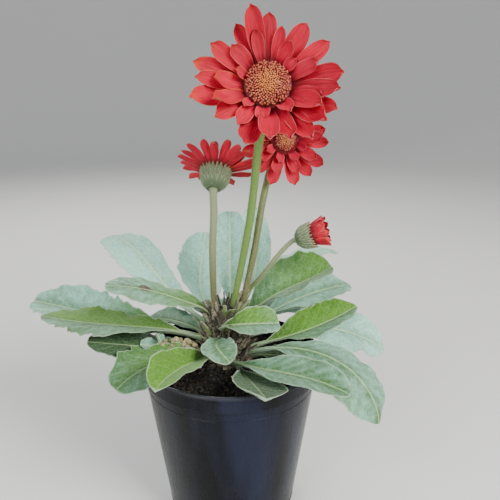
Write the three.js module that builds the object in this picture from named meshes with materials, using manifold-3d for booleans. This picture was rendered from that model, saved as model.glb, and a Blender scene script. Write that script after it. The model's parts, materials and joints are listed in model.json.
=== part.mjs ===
// A potted gerbera in flower: a round black nursery pot filled with compost, a woolly crown standing in
// the compost, a rosette of leaves round the crown, and four stems that carry a wide open bloom, a
// second bloom behind it, a half-open bloom and a nodding bud.
// Millimetres, +Z up. The origin is the centre of the pot's flat underside; -Y is the plant's front.
// A leaf, stem, cup or disc stops CLEARANCE short of what carries it: each is a solid of its own.
import * as THREE from "three";
import { mergeVertices } from "three/addons/utils/BufferGeometryUtils.js";
import Module from "manifold-3d";

const wasm = await Module();
wasm.setup();

// ---- driving dimensions ----

const CLEARANCE = 0.35; // between a piece and the one that carries it

const POT_HEIGHT = 122;
const RIM_RADIUS = 65; // outside of the collar at the rim
const COLLAR_HEIGHT = 12;
const COLLAR_STEP = 2.5; // how far the collar stands out over the wall
const SHOULDER_RADIUS = 61.5; // wall just under the collar
const BASE_RADIUS = 46;
const POT_WALL = 1.6;
const POT_FLOOR = 3;
const POT_SIDES = 32;
const DRAIN_COUNT = 8; // notches at the foot of the wall
const DRAIN_WIDTH = 9;
const DRAIN_HEIGHT = 4.5;
const DRAIN_DEPTH = 5;

const SOIL_LEVEL = 108.5;
const SOIL_BUMP = 1.2; // height of the lumps
const SOIL_SIDES = 28;
const SOIL_RINGS = [56, 48, 38, 27, 16]; // radii of the rings of lumps

const CROWN_X = 0;
const CROWN_Y = 8;
const CROWN_FOOT = 98; // where the crown stands in its hole in the compost
const CROWN_SIDES = 14;
const CROWN_RADII = [ // [height, radius] up the crown
  [CROWN_FOOT, 9],
  [SOIL_LEVEL, 13.4],
  [114, 13],
  [121, 11.8],
  [130, 10.6],
  [140, 9.4],
  [147, 7.8],
  [151, 5.4],
  [153, 3],
];
const CROWN_STRETCH = 1.35; // the crown is wider from side to side, and stands more to the left
const CROWN_SHIFT = -3.5;

const BLADE = 0.8; // thickness of a leaf at its edge
const MIDRIB = 1.7; // thickness along its middle
const STALK_WIDTH = 3.8;
const STALK_DEPTH = 3;
const WIDEST = 0.66; // where along a leaf it is widest
const TIP_WIDTH = 2.4;
const ROOT_FOLD = 52; // fold at a leaf's root, in degrees, where its blade narrows to a channel
const BELLY = 0.65; // the smaller, the sooner a leaf widens past its stalk
const ROUND_TIP = 2.2; // the larger, the nearer the tip a blade starts to narrow
const TOOTH = 0.06; // depth of the teeth, as a share of half the leaf's width
const WAVES = 2.6; // waves along a leaf's edge
const WAVE_SHIFT = 1.9; // how far the right edge's waves are ahead of the left one's, in radians
const BLADE_STATIONS = 7; // steps along the blade, past the stalk

// Each leaf leaves the crown at height root, heading az (from +X towards +Y), and has turned by sweep at
// its tip. It is rooted at distance out from the crown's middle, turned by side from the way it heads. Its
// slope goes from rise to fall, with arch added halfway. fold lifts both halves out of the flat, and roll
// tips the blade, its left half up. half is half the blade's width, and point is larger for a tip that is
// less blunt. stalk is the bare share of the leaf's length, and wave how far its edge rises and falls.
const LEAF_COLUMNS = "az side sweep rise fall arch length half fold roll point stalk root out wave";
const LEAVES = {
  back_left_upright: [155, 0, -25, 5, -20, 45, 140, 18, -10, -10, 0.4, 0.15, 134, 6, 1.2],
  back_upright_a: [130, 0, -60, 20, 70, -25, 110, 20, 10, 20, 0.4, 0.12, 132, 6, 1],
  back_upright_b: [92, 0, 0, 70, 42, 0, 91, 15, 22, -8, 0.5, 0.12, 135, 5.5, 1],
  back_upright_c: [65, 0, 40, 25, 65, -25, 130, 15, 15, -20, 0.4, 0.12, 138, 6.5, 1],
  left_upper: [185, 0, 10, 30, 5, 5, 88, 17, -4, -8, 0.4, 0.08, 144, 5, 1],
  left_far: [165, 0, -10, -4, -2, 8, 168, 20, 20, -30, 0.4, 0.2, 127, 7.5, 2],
  left_long: [180, 0, -5, 25, 12, -15, 134, 22, 5, 0, 0.5, 0.2, 123, 7, 1.6],
  left_shaded: [188, 0, 0, 6, 10, 0, 95, 18, 2, -8, 0.45, 0.2, 119, 8, 1],
  front_left_toothed: [210, 0, 15, 15, -30, 12, 86, 23, 5, -5, 0.4, 0.15, 117, 8, 1.6],
  front_left_bright: [233, 0, 20, 5, -5, 12, 85, 16.5, 30, -10, 0.45, 0.12, 121.5, 8, 1],
  front_small: [235, -10, 85, 0, -30, 22, 45, 12, 12, 10, 0.45, 0.12, 132, 5.5, 0.8],
  centre_right_young: [315, -85, 60, 35, -5, -5, 47, 13.5, 18, 25, 0.4, 0.05, 139.5, 12, 0.8],
  right_upper: [22, 0, -12, 65, 30, -25, 86, 27, 25, 8, 0.4, 0.12, 132, 6.5, 1.2],
  right_long: [3, 0, 9, 15, 30, -5, 90, 18, 22, 15, 0.7, 0.15, 119, 9, 1.2],
  front_right_broad: [312, -56, 24, 8, -18, 14, 100, 16, 16, 10, 0.55, 0.1, 116, 12, 0.7],
  front_right_cupped: [288, 0, -4, 4, 10, 6, 74, 18, 12, -14, 0.35, 0.15, 113, 11, 0.4],
  right_drooping: [333, 0, -10, 28, -85, 24, 128, 23, -20, 12, 0.65, 0.18, 117, 10, 1.6],
  right_arching: [20, 0, -12, 9, -40, 5, 122, 21, 8, 30, 0.6, 0.22, 127, 10, 2.2],
  right_back: [33, 0, 4, 26, -6, -3, 112, 16.5, 12, 15, 0.5, 0.18, 129.5, 7.5, 1.2],
  right_back_edge: [46, 0, -4, 52, -18, 0, 127, 13, 4, 0, 0.5, 0.18, 133.5, 6.5, 1],
  right_shaded: [350, 0, 0, 14, -6, 0, 50, 14, 8, 0, 0.5, 0.2, 113.5, 8, 1],
  back_low_a: [54, 0, 4, 20, -28, 0, 104, 19, 10, 0, 0.5, 0.2, 122, 8, 1.6],
  back_low_b: [84, 0, 4, 20, -28, 0, 100, 19, 10, 0, 0.5, 0.2, 118, 8, 1.6],
  back_low_c: [112, 0, 4, 20, -28, 0, 104, 19, 10, 0, 0.5, 0.2, 122, 8, 1.6],
  back_low_d: [138, 0, 4, 18, -28, 0, 104, 19, 10, 0, 0.5, 0.2, 118, 8, 1.6],
};

const PETAL = 0.8; // thickness of a petal
const PETAL_STEPS = [0, 0.42, 0.82, 1]; // stations along a petal
const PETAL_ROOT_WIDTH = 0.55; // width at the root, as a share of the widest
const PETAL_TIP_WIDTH = 0.3;
const PETAL_CUP = 0.12; // how far a petal's edges stand up, as a share of half its width
const PETAL_STAGGER = 4; // neighbours in a layer lean this many degrees forward and back
const PLATE_DEPTH = 3.6; // the plate that a bloom's petals and florets stand on
const LAYER_STEP = 0.6; // between the roots of two layers of petals
const FLORET = 0.12; // height of the raised florets, as a share of the disc's radius
const FLORET_SIDES = 20;
const CUP_RIBS = 10;

// Each bloom: at is the middle of the plate that its petals grow from, tilt how far its face looks up,
// and turn how far it is turned from the front towards +X. plate and cup are the radii of the plate and
// of the green cup under it, cupDepth the cup's depth and disc the radius of the disc of florets. Its petals
// are rooted at inset inside the plate's edge.
// A layer of petals is a list of [angle, length, half width], or count of them spread evenly; rise and
// lift are the petals' slopes out of the plate's plane at the root and at the tip.
const BLOOMS = {
  tall: {
    at: [25, 0, 305],
    tilt: 22,
    turn: 0,
    plate: 15.2,
    cup: 13.5,
    cupDepth: 13,
    disc: 14.2,
    inset: 2.4,
    layers: [
      {
        rise: 22,
        lift: 30,
        petals: [
          [105, 38, 6], [90, 32, 5.5], [75, 25, 4], [55, 32, 6.5], [30, 34, 5.5], [5, 36, 7], [350, 35, 6],
          [335, 36, 6], [320, 38, 6.5], [305, 36, 6.5], [290, 32, 6.5], [250, 33, 7], [215, 30, 6],
          [195, 40, 6.5], [180, 35, 5], [165, 36, 5.5], [150, 32, 5.5], [120, 30, 5],
        ],
      },
      {
        rise: 34,
        lift: 38,
        petals: [
          [270, 34, 6.5], [235, 24, 5], [205, 33, 5.5], [180, 25, 6], [135, 22, 5], [105, 23, 4],
          [60, 20, 4.5], [20, 23, 5], [330, 30, 6.5], [340, 26, 5],
        ],
      },
      {
        rise: 54,
        lift: 30,
        petals: [[305, 16, 5], [260, 14, 4.5], [225, 12, 3.5], [40, 12, 3.5], [160, 12, 3.5]],
      },
    ],
  },
  second: {
    at: [38, 38, 267.5],
    tilt: 6,
    turn: 8,
    plate: 10.4,
    cup: 10,
    cupDepth: 11,
    disc: 7.2,
    inset: 2,
    layers: [
      { rise: 12, lift: 18, count: 14, length: 23.2, half: 4.7, start: 19 },
      { rise: 32, lift: 28, count: 9, length: 18.5, half: 4.2, start: 8 },
      { rise: 56, lift: 38, count: 8, length: 10.5, half: 3.2, start: 26 },
    ],
  },
  half_open: {
    at: [-10, 24, 247],
    tilt: 48,
    turn: 173,
    plate: 9.8,
    cup: 10.4,
    cupDepth: 14,
    disc: 8.2,
    inset: 1,
    layers: [
      { rise: 22, lift: 12, count: 19, length: 20.5, half: 3, start: 0 },
      { rise: 46, lift: 34, count: 13, length: 16, half: 2.7, start: 9 },
    ],
  },
  bud: {
    at: [57.5, 20.5, 202.5],
    tilt: 20,
    turn: 84,
    plate: 8,
    cup: 8.8,
    cupDepth: 11.5,
    inset: 1,
    layers: [
      { rise: 70, lift: 78, count: 12, length: 11, half: 2.8, start: 0 },
      { rise: 80, lift: 87, count: 9, length: 11.5, half: 2.6, start: 20 },
    ],
  },
};

const NECK = 2; // straight run of a stem behind its bloom
const STEM_SIDES = 8;
const STEM_STEPS = 16;

// Each stem: its radius and the points it passes through from the crown up to its bloom's neck.
const STEMS = {
  tall: {
    radius: 2.65,
    through: [
      [1, 10, 142], [2, 10, 152], [10, 12, 194], [14.5, 13.5, 220], [20, 17, 268],
      [23, 19, 284], [24.5, 18, 294],
    ],
  },
  second: {
    radius: 2.3,
    through: [
      [5.5, 10.5, 138], [9, 13, 155], [17, 17, 192], [22.5, 28, 223], [28.5, 43, 246],
      [33, 51.5, 257], [35.5, 53.5, 263.5],
    ],
  },
  half_open: {
    radius: 2.4,
    through: [[-10.5, 13, 142], [-12, 13.5, 152], [-12.5, 12.5, 194], [-11, 11, 222]],
  },
  bud: {
    radius: 1.6,
    through: [[3, 13.5, 142], [8.5, 19.5, 155], [24.5, 22.5, 173], [33.5, 22, 186]],
  },
};

const COLOUR = {
  pot: 0x26262a,
  soil: 0x2b211b,
  crown: 0x6f5b41,
  leaf: 0x7d9c6c,
  stem: 0x83913f,
  cup: 0x87997a,
  petal: 0xd8262c,
  disc: 0xc9803a,
};

// ---- helpers ----

const rad = THREE.MathUtils.degToRad;
const lerp = THREE.MathUtils.lerp;
const smooth = (x) => THREE.MathUtils.smoothstep(x, 0, 1);

// A repeatable number from -1 to 1 for draw k of item i.
function vary(i, k) {
  const s = Math.sin(i * 12.9898 + k * 78.233) * 43758.5453;
  return 2 * (s - Math.floor(s)) - 1;
}

// A closed geometry as a solid that can be joined and cut.
function solid(geometry) {
  const bare = new THREE.BufferGeometry();
  bare.setAttribute("position", geometry.getAttribute("position"));
  bare.setIndex(geometry.index);
  const merged = mergeVertices(bare, 1e-3);
  const corners = merged.index.array;
  const kept = [];
  for (let i = 0; i < corners.length; i += 3) {
    const [a, b, c] = corners.slice(i, i + 3);
    if (a !== b && b !== c && c !== a) kept.push(a, b, c);
  }
  const vertProperties = new Float32Array(merged.getAttribute("position").array);
  return new wasm.Manifold(new wasm.Mesh({ numProp: 3, vertProperties, triVerts: new Uint32Array(kept) }));
}

// A named mesh of a solid in one colour.
function piece(name, body, color, roughness) {
  const { vertProperties, triVerts } = body.getMesh();
  const geometry = new THREE.BufferGeometry();
  geometry.setAttribute("position", new THREE.BufferAttribute(vertProperties, 3));
  geometry.setIndex(new THREE.BufferAttribute(triVerts, 1));
  geometry.computeVertexNormals();
  const mesh = new THREE.Mesh(geometry, new THREE.MeshStandardMaterial({ color, roughness, metalness: 0 }));
  mesh.name = name;
  return mesh;
}

// A profile of [radius, height] pairs turned about +Z, each point then moved by move(point, angle).
function turned(profile, sides, move = () => {}) {
  const points = profile.map(([radius, height]) => new THREE.Vector2(radius, height));
  const geometry = new THREE.LatheGeometry(points, sides).rotateX(Math.PI / 2);
  const position = geometry.getAttribute("position");
  const point = new THREE.Vector3();
  for (let i = 0; i < position.count; i++) {
    point.fromBufferAttribute(position, i);
    move(point, Math.atan2(point.y, point.x));
    position.setXYZ(i, point.x, point.y, point.z);
  }
  return geometry;
}

// A closed sheet: rows by columns of points on its upper face, and a point under each. Both faces are
// split into triangles alike, so they never cross where the sheet waves.
function sheet(rows, columns, upper, lower) {
  const points = [];
  for (const face of [upper, lower]) {
    for (let i = 0; i < rows; i++) {
      for (let j = 0; j < columns; j++) points.push(...face(i, j));
    }
  }
  const triangles = [];
  const top = (i, j) => i * columns + j;
  const under = (i, j) => rows * columns + top(i, j);
  const wall = (a, b, c, d) => triangles.push(a, b, c, a, c, d);
  for (let i = 0; i < rows - 1; i++) {
    for (let j = 0; j < columns - 1; j++) {
      wall(top(i, j), top(i + 1, j), top(i + 1, j + 1), top(i, j + 1));
      triangles.push(under(i, j), under(i + 1, j + 1), under(i + 1, j));
      triangles.push(under(i, j), under(i, j + 1), under(i + 1, j + 1));
    }
    const last = columns - 1;
    wall(top(i, 0), under(i, 0), under(i + 1, 0), top(i + 1, 0));
    wall(top(i + 1, last), under(i + 1, last), under(i, last), top(i, last));
  }
  for (let j = 0; j < columns - 1; j++) {
    const last = rows - 1;
    wall(top(0, j + 1), under(0, j + 1), under(0, j), top(0, j));
    wall(top(last, j), under(last, j), under(last, j + 1), top(last, j + 1));
  }
  const geometry = new THREE.BufferGeometry();
  geometry.setAttribute("position", new THREE.Float32BufferAttribute(points, 3));
  geometry.setIndex(triangles);
  return geometry;
}

// ---- pot, compost and crown ----

const wallRadius = (height) => lerp(BASE_RADIUS, SHOULDER_RADIUS, height / (POT_HEIGHT - COLLAR_HEIGHT));

function pot() {
  const shoulder = POT_HEIGHT - COLLAR_HEIGHT;
  const inside = (height) => wallRadius(height) - POT_WALL;
  const wall = turned([
    [0, 0],
    [BASE_RADIUS - 1.2, 0],
    [wallRadius(1.2), 1.2],
    [SHOULDER_RADIUS, shoulder],
    [SHOULDER_RADIUS + COLLAR_STEP, shoulder],
    [RIM_RADIUS, POT_HEIGHT - 2.4],
    [RIM_RADIUS - 0.4, POT_HEIGHT - 0.7],
    [RIM_RADIUS - 1.2, POT_HEIGHT],
    [RIM_RADIUS - 2.2, POT_HEIGHT],
    [RIM_RADIUS - 2.8, POT_HEIGHT - 1],
    [RIM_RADIUS - 3.4, shoulder + 2],
    [inside(shoulder - 1), shoulder - 1],
    [inside(POT_FLOOR), POT_FLOOR],
    [0, POT_FLOOR],
  ], POT_SIDES);
  let body = solid(wall);
  for (let k = 0; k < DRAIN_COUNT; k++) {
    const notch = new THREE.BoxGeometry(2 * DRAIN_DEPTH, DRAIN_WIDTH, 2 * DRAIN_HEIGHT);
    notch.translate(BASE_RADIUS, 0, 0).rotateZ((2 * Math.PI * (k + 0.5)) / DRAIN_COUNT);
    body = body.subtract(solid(notch));
  }
  return piece("pot", body, COLOUR.pot, 0.4);
}

// The crown, its skin moved out by grow.
function crownBody(grow) {
  const profile = CROWN_RADII.map(([height, radius]) => [radius + grow, height]);
  profile[0][1] -= grow;
  profile.at(-1)[1] += grow;
  profile.unshift([0, profile[0][1]]);
  profile.push([0, profile.at(-1)[1]]);
  const body = turned(profile, CROWN_SIDES).scale(CROWN_STRETCH, 1, 1);
  return solid(body.translate(CROWN_X + CROWN_SHIFT, CROWN_Y, 0));
}

function soil() {
  const inside = (height) => wallRadius(height) - POT_WALL - CLEARANCE;
  const foot = POT_FLOOR + CLEARANCE;
  const edge = SOIL_LEVEL - 3;
  const rings = SOIL_RINGS.map((radius) => [radius, SOIL_LEVEL]);
  const profile = [[0, foot], [inside(foot), foot], [inside(edge), edge], ...rings, [0, SOIL_LEVEL]];
  const lump = (point, angle) => {
    const reach = Math.hypot(point.x, point.y);
    const ring = SOIL_RINGS.findIndex((radius) => Math.abs(reach - radius) < 0.1);
    const side = Math.round((angle * SOIL_SIDES) / (2 * Math.PI));
    if (ring >= 0 && point.z > edge) point.z += SOIL_BUMP * vary(side, ring);
  };
  const body = solid(turned(profile, SOIL_SIDES, lump)).subtract(crownBody(CLEARANCE));
  return piece("soil", body, COLOUR.soil, 1);
}

// ---- leaves ----

// The way a leaf runs at t, from 0 at its root to 1 at its tip.
function heading(leaf, t) {
  const slope = rad(lerp(leaf.rise, leaf.fall, t) + leaf.arch * Math.sin(Math.PI * t));
  const azimuth = rad(leaf.az + leaf.sweep * t);
  const level = Math.cos(slope);
  return new THREE.Vector3(level * Math.cos(azimuth), level * Math.sin(azimuth), Math.sin(slope));
}

// The middle of a leaf at t: its heading, added up from the root in short steps.
function middle(leaf, t) {
  const steps = 40;
  const from = rad(leaf.az + leaf.side);
  const point = new THREE.Vector3(Math.cos(from), Math.sin(from), 0).multiplyScalar(leaf.out);
  point.add(new THREE.Vector3(CROWN_X, CROWN_Y, leaf.root));
  for (let i = 0; i < steps; i++) {
    point.addScaledVector(heading(leaf, (t * (i + 0.5)) / steps), (t * leaf.length) / steps);
  }
  return point;
}

function halfWidth(leaf, t) {
  const widening = smooth((t - leaf.stalk) / (WIDEST - leaf.stalk));
  const past = Math.max(0, t - WIDEST) / (1 - WIDEST);
  return leaf.half * widening ** BELLY * Math.max(0, 1 - past ** ROUND_TIP) ** leaf.point;
}

// A point of a leaf's upper face: t along it, u from -1 to 1 across it, tooth its edge's tooth there.
function leafPoint(leaf, t, u, tooth) {
  const along = heading(leaf, t);
  const azimuth = rad(leaf.az + leaf.sweep * t);
  const level = new THREE.Vector3(-Math.sin(azimuth), Math.cos(azimuth), 0);
  const across = level.clone().applyAxisAngle(along, rad(leaf.roll));
  const up = along.clone().cross(across);
  const blade = smooth((t - leaf.stalk) / 0.3);
  const least = lerp(STALK_WIDTH, TIP_WIDTH, t) / 2;
  const half = Math.max(least, halfWidth(leaf, t) * (1 + tooth));
  const phase = 2 * Math.PI * WAVES * t + (u > 0 ? 0 : WAVE_SHIFT);
  const fold = rad(lerp(ROOT_FOLD, leaf.fold, smooth(t / 0.5)));
  const lift = Math.abs(u) * half * Math.sin(fold) + leaf.wave * u * u * Math.sin(phase) * blade;
  const point = middle(leaf, t).addScaledVector(across, u * half * Math.cos(fold));
  return { point: point.addScaledVector(up, lift), up };
}

function leafBody(leaf) {
  const stations = [0, leaf.stalk / 2, leaf.stalk];
  for (let k = 1; k <= BLADE_STATIONS; k++) {
    stations.push(lerp(leaf.stalk, 1, Math.sin((Math.PI / 2) * (k / BLADE_STATIONS))));
  }
  const across = [-1, -0.5, 0, 0.5, 1];
  const upper = (i, j) => leafPoint(leaf, stations[i], across[j], i % 2 ? TOOTH : -TOOTH).point;
  const lower = (i, j) => {
    const t = stations[i];
    const u = across[j];
    const { point, up } = leafPoint(leaf, t, u, i % 2 ? TOOTH : -TOOTH);
    const stalk = 1 - smooth((t - leaf.stalk / 2) / leaf.stalk);
    const bladeDepth = lerp(MIDRIB, BLADE, Math.abs(u));
    return point.addScaledVector(up, -lerp(bladeDepth, STALK_DEPTH * (1 - 0.4 * Math.abs(u)), stalk));
  };
  return solid(sheet(stations.length, across.length, upper, lower));
}

// ---- blooms ----

// How wide a petal is at t, as a share of its widest: it widens evenly to the middle and rounds off.
function petalWidth(t) {
  const widening = Math.min(1, lerp(PETAL_ROOT_WIDTH, 1, 2 * t));
  const rounding = Math.sqrt(1 - Math.max(0, (t - 0.6) / 0.42) ** 2.4);
  return Math.max(PETAL_TIP_WIDTH, widening * rounding);
}

// The solid of one petal in its bloom's frame, whose +Z is the way the bloom faces. It is rooted at
// radius root and at height up, and lean is added to its layer's slopes.
function petalBody(layer, root, up, lean, [angle, length, half]) {
  const across = [-1, 0, 1];
  const slope = (t) => rad(lerp(layer.rise, layer.lift, t) + lean);
  const place = (i, j, depth) => {
    const t = PETAL_STEPS[i];
    const raised = PETAL_CUP * half * Math.abs(across[j]) * smooth(t * 2) - depth;
    const reach = root + t * length * Math.cos(slope(t / 2)) - raised * Math.sin(slope(t));
    const height = up + t * length * Math.sin(slope(t / 2)) + raised * Math.cos(slope(t));
    return new THREE.Vector3(reach, across[j] * half * petalWidth(t), height);
  };
  const upper = (i, j) => place(i, j, 0);
  const lower = (i, j) => place(i, j, PETAL);
  return solid(sheet(PETAL_STEPS.length, across.length, upper, lower).rotateZ(rad(angle)));
}

// A layer's petals as a list of [angle, length, half width].
function petalRows(layer, depth) {
  if (layer.petals) return layer.petals;
  return Array.from({ length: layer.count }, (_, k) => [
    layer.start + (360 * k) / layer.count + 4 * vary(k, depth),
    layer.length * (1 + 0.07 * vary(k, depth + 5)),
    layer.half,
  ]);
}

// The red petals of a bloom, in their layers round the plate that they grow from.
function petals(bloom) {
  const rim = bloom.plate;
  const bevel = 0.6;
  const plate = [
    [0, 0],
    [rim - bevel, 0],
    [rim, bevel],
    [rim, PLATE_DEPTH - bevel],
    [rim - bevel, PLATE_DEPTH],
    [0, PLATE_DEPTH],
  ];
  let body = solid(turned(plate, 20));
  bloom.layers.forEach((layer, depth) => {
    petalRows(layer, depth).forEach((row, k) => {
      const up = 1.4 + LAYER_STEP * depth;
      const lean = k % 2 ? -PETAL_STAGGER : PETAL_STAGGER;
      body = body.add(petalBody(layer, rim - bloom.inset, up, lean, row));
    });
  });
  return body;
}

// The green cup of scales under a bloom: ribbed, with a tip to every rib.
function cup(bloom) {
  const { cup: radius, cupDepth: depth } = bloom;
  const rim = -CLEARANCE;
  const profile = [
    [0, -depth],
    [0.36 * radius, -depth],
    [0.74 * radius, -0.74 * depth],
    [0.95 * radius, -0.4 * depth],
    [radius, -0.16 * depth],
    [radius, rim],
    [0, rim],
  ];
  const scale = (point, angle) => {
    const reach = Math.hypot(point.x, point.y);
    if (reach < 0.5 * radius) return;
    const rib = Math.cos(CUP_RIBS * angle);
    const stretch = 1 + (0.035 * rib * radius) / reach;
    point.x *= stretch;
    point.y *= stretch;
    if (point.z > rim - 0.1 && rib < 0) point.z -= 0.12 * depth;
  };
  return solid(turned(profile, 2 * CUP_RIBS, scale));
}

// The domed disc of florets: every second ring is raised into florets, each such ring half a step on.
function disc(bloom) {
  const foot = PLATE_DEPTH + CLEARANCE;
  const r = bloom.disc;
  const rings = [[1, 0.08], [0.94, 0.19], [0.82, 0.26], [0.68, 0.31], [0.54, 0.335], [0.4, 0.35]];
  const profile = rings.map(([share, height]) => [share * r, foot + height * r]);
  profile.unshift([0, foot], [0.93 * r, foot]);
  profile.push([0, foot + 0.37 * r]);
  const floret = (point, angle) => {
    const reach = Math.hypot(point.x, point.y);
    const ring = rings.findIndex(([share]) => Math.abs(reach - share * r) < 0.01 * r);
    const side = Math.round((angle * FLORET_SIDES) / (2 * Math.PI));
    if (ring % 2 === 1 && (side + (ring - 1) / 2) % 2) point.z += FLORET * r;
  };
  return solid(turned(profile, FLORET_SIDES, floret));
}

function bloomGroup(name, bloom) {
  const group = new THREE.Group();
  group.add(piece(`cup_${name}`, cup(bloom), COLOUR.cup, 0.8));
  group.add(piece(`petals_${name}`, petals(bloom), COLOUR.petal, 0.55));
  if (bloom.disc) group.add(piece(`disc_${name}`, disc(bloom), COLOUR.disc, 0.8));
  placeBloom(group, bloom);
  return group;
}

// Turns a thing made in a bloom's frame, and puts it in the bloom's place.
function placeBloom(thing, bloom) {
  thing.rotation.set(rad(90 - bloom.tilt), 0, rad(bloom.turn), "ZYX");
  thing.position.set(...bloom.at);
  thing.updateMatrixWorld();
  return thing;
}

// ---- stems ----

function stemBody(name) {
  const { radius, through } = STEMS[name];
  const bloom = BLOOMS[name];
  const frame = placeBloom(new THREE.Object3D(), bloom).matrixWorld;
  const foot = -bloom.cupDepth - CLEARANCE;
  const behind = (distance) => new THREE.Vector3(0, 0, foot - distance).applyMatrix4(frame);
  const points = through.map((point) => new THREE.Vector3(...point));
  const path = new THREE.CatmullRomCurve3([...points, behind(NECK), behind(-1)]);
  const section = new THREE.Shape().absarc(0, 0, radius, 0, 2 * Math.PI);
  const around = { curveSegments: STEM_SIDES / 2, bevelEnabled: false };
  const trim = new THREE.CylinderGeometry(3 * radius, 3 * radius, NECK, STEM_SIDES).rotateX(Math.PI / 2);
  trim.translate(0, 0, foot + NECK / 2).applyMatrix4(frame);
  const run = new THREE.ExtrudeGeometry(section, { steps: STEM_STEPS, extrudePath: path, ...around });
  return solid(run).subtract(solid(trim));
}

// ---- assembly ----

const plant = new THREE.Group();
const crownRoom = crownBody(CLEARANCE);
plant.add(pot(), soil(), piece("crown", crownBody(0), COLOUR.crown, 1));
for (const [name, row] of Object.entries(LEAVES)) {
  const leaf = Object.fromEntries(LEAF_COLUMNS.split(" ").map((column, i) => [column, row[i]]));
  plant.add(piece(`leaf_${name}`, leafBody(leaf).subtract(crownRoom), COLOUR.leaf, 0.75));
}
for (const [name, bloom] of Object.entries(BLOOMS)) {
  plant.add(bloomGroup(name, bloom));
  plant.add(piece(`stem_${name}`, stemBody(name).subtract(crownRoom), COLOUR.stem, 0.7));
}

export default plant;
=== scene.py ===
"""A potted gerbera in flower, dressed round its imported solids.

The tables of leaves, blooms and stems are in millimetres and degrees, as in the model's own source, and
every mesh is made in metres. +Z is up, and -Y is the plant's front.
"""

import json
import math

import bpy
import numpy as np
from bpy.props import FloatProperty, FloatVectorProperty, IntProperty, PointerProperty
from mathutils import Matrix, Vector, noise

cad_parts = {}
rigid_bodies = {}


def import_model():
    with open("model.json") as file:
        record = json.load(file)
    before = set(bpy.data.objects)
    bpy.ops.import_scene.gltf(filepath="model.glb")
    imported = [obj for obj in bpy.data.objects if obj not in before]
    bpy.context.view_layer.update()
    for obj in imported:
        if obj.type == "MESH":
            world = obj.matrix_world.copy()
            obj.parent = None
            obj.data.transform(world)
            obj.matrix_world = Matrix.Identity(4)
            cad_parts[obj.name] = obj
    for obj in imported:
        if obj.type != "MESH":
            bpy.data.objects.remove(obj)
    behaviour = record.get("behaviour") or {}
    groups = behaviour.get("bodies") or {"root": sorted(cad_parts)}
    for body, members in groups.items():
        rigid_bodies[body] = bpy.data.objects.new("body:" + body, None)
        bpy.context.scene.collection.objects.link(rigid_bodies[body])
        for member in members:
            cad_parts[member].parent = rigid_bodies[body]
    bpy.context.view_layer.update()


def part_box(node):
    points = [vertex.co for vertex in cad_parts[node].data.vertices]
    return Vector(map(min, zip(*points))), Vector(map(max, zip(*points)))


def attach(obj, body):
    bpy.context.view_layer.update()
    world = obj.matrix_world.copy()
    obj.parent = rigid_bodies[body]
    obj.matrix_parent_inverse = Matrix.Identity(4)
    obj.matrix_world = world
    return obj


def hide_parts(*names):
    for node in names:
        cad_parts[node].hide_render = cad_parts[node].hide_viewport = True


bl_info = {
    "name": "Potted gerbera",
    "version": (1, 0, 0),
    "blender": (4, 5, 0),
    "location": "View3D > Sidebar > Gerbera",
    "description": "Builds a gerbera in flower in its nursery pot",
    "category": "Add Mesh",
}

for leftover in list(bpy.data.objects):
    bpy.data.objects.remove(leftover)
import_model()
POT_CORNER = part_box("pot")[1]

MM = 0.001
SEED = 7
BODY = "root"

POT_FLOOR = 3.0  # thickness of the pot's floor, in millimetres
NOTCHES = 8  # drain notches round the pot's foot
NOTCH_SIZE = (0.010, 0.009, 0.009)  # in metres

# ---- the plant's own tables ----

CROWN = np.array([0.0, 8.0, 0.0])
CROWN_RADII = [
    [98, 9], [108.5, 13.4], [114, 13], [121, 11.8], [130, 10.6], [140, 9.4], [147, 7.8], [151, 5.4], [153, 3],
]
CROWN_STRETCH = 1.35  # the crown is wider from side to side, and stands more to the left
CROWN_SHIFT = -3.5
STREWN_REACH = 56.0  # how far from the pot's middle crumbs and fibres lie

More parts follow.
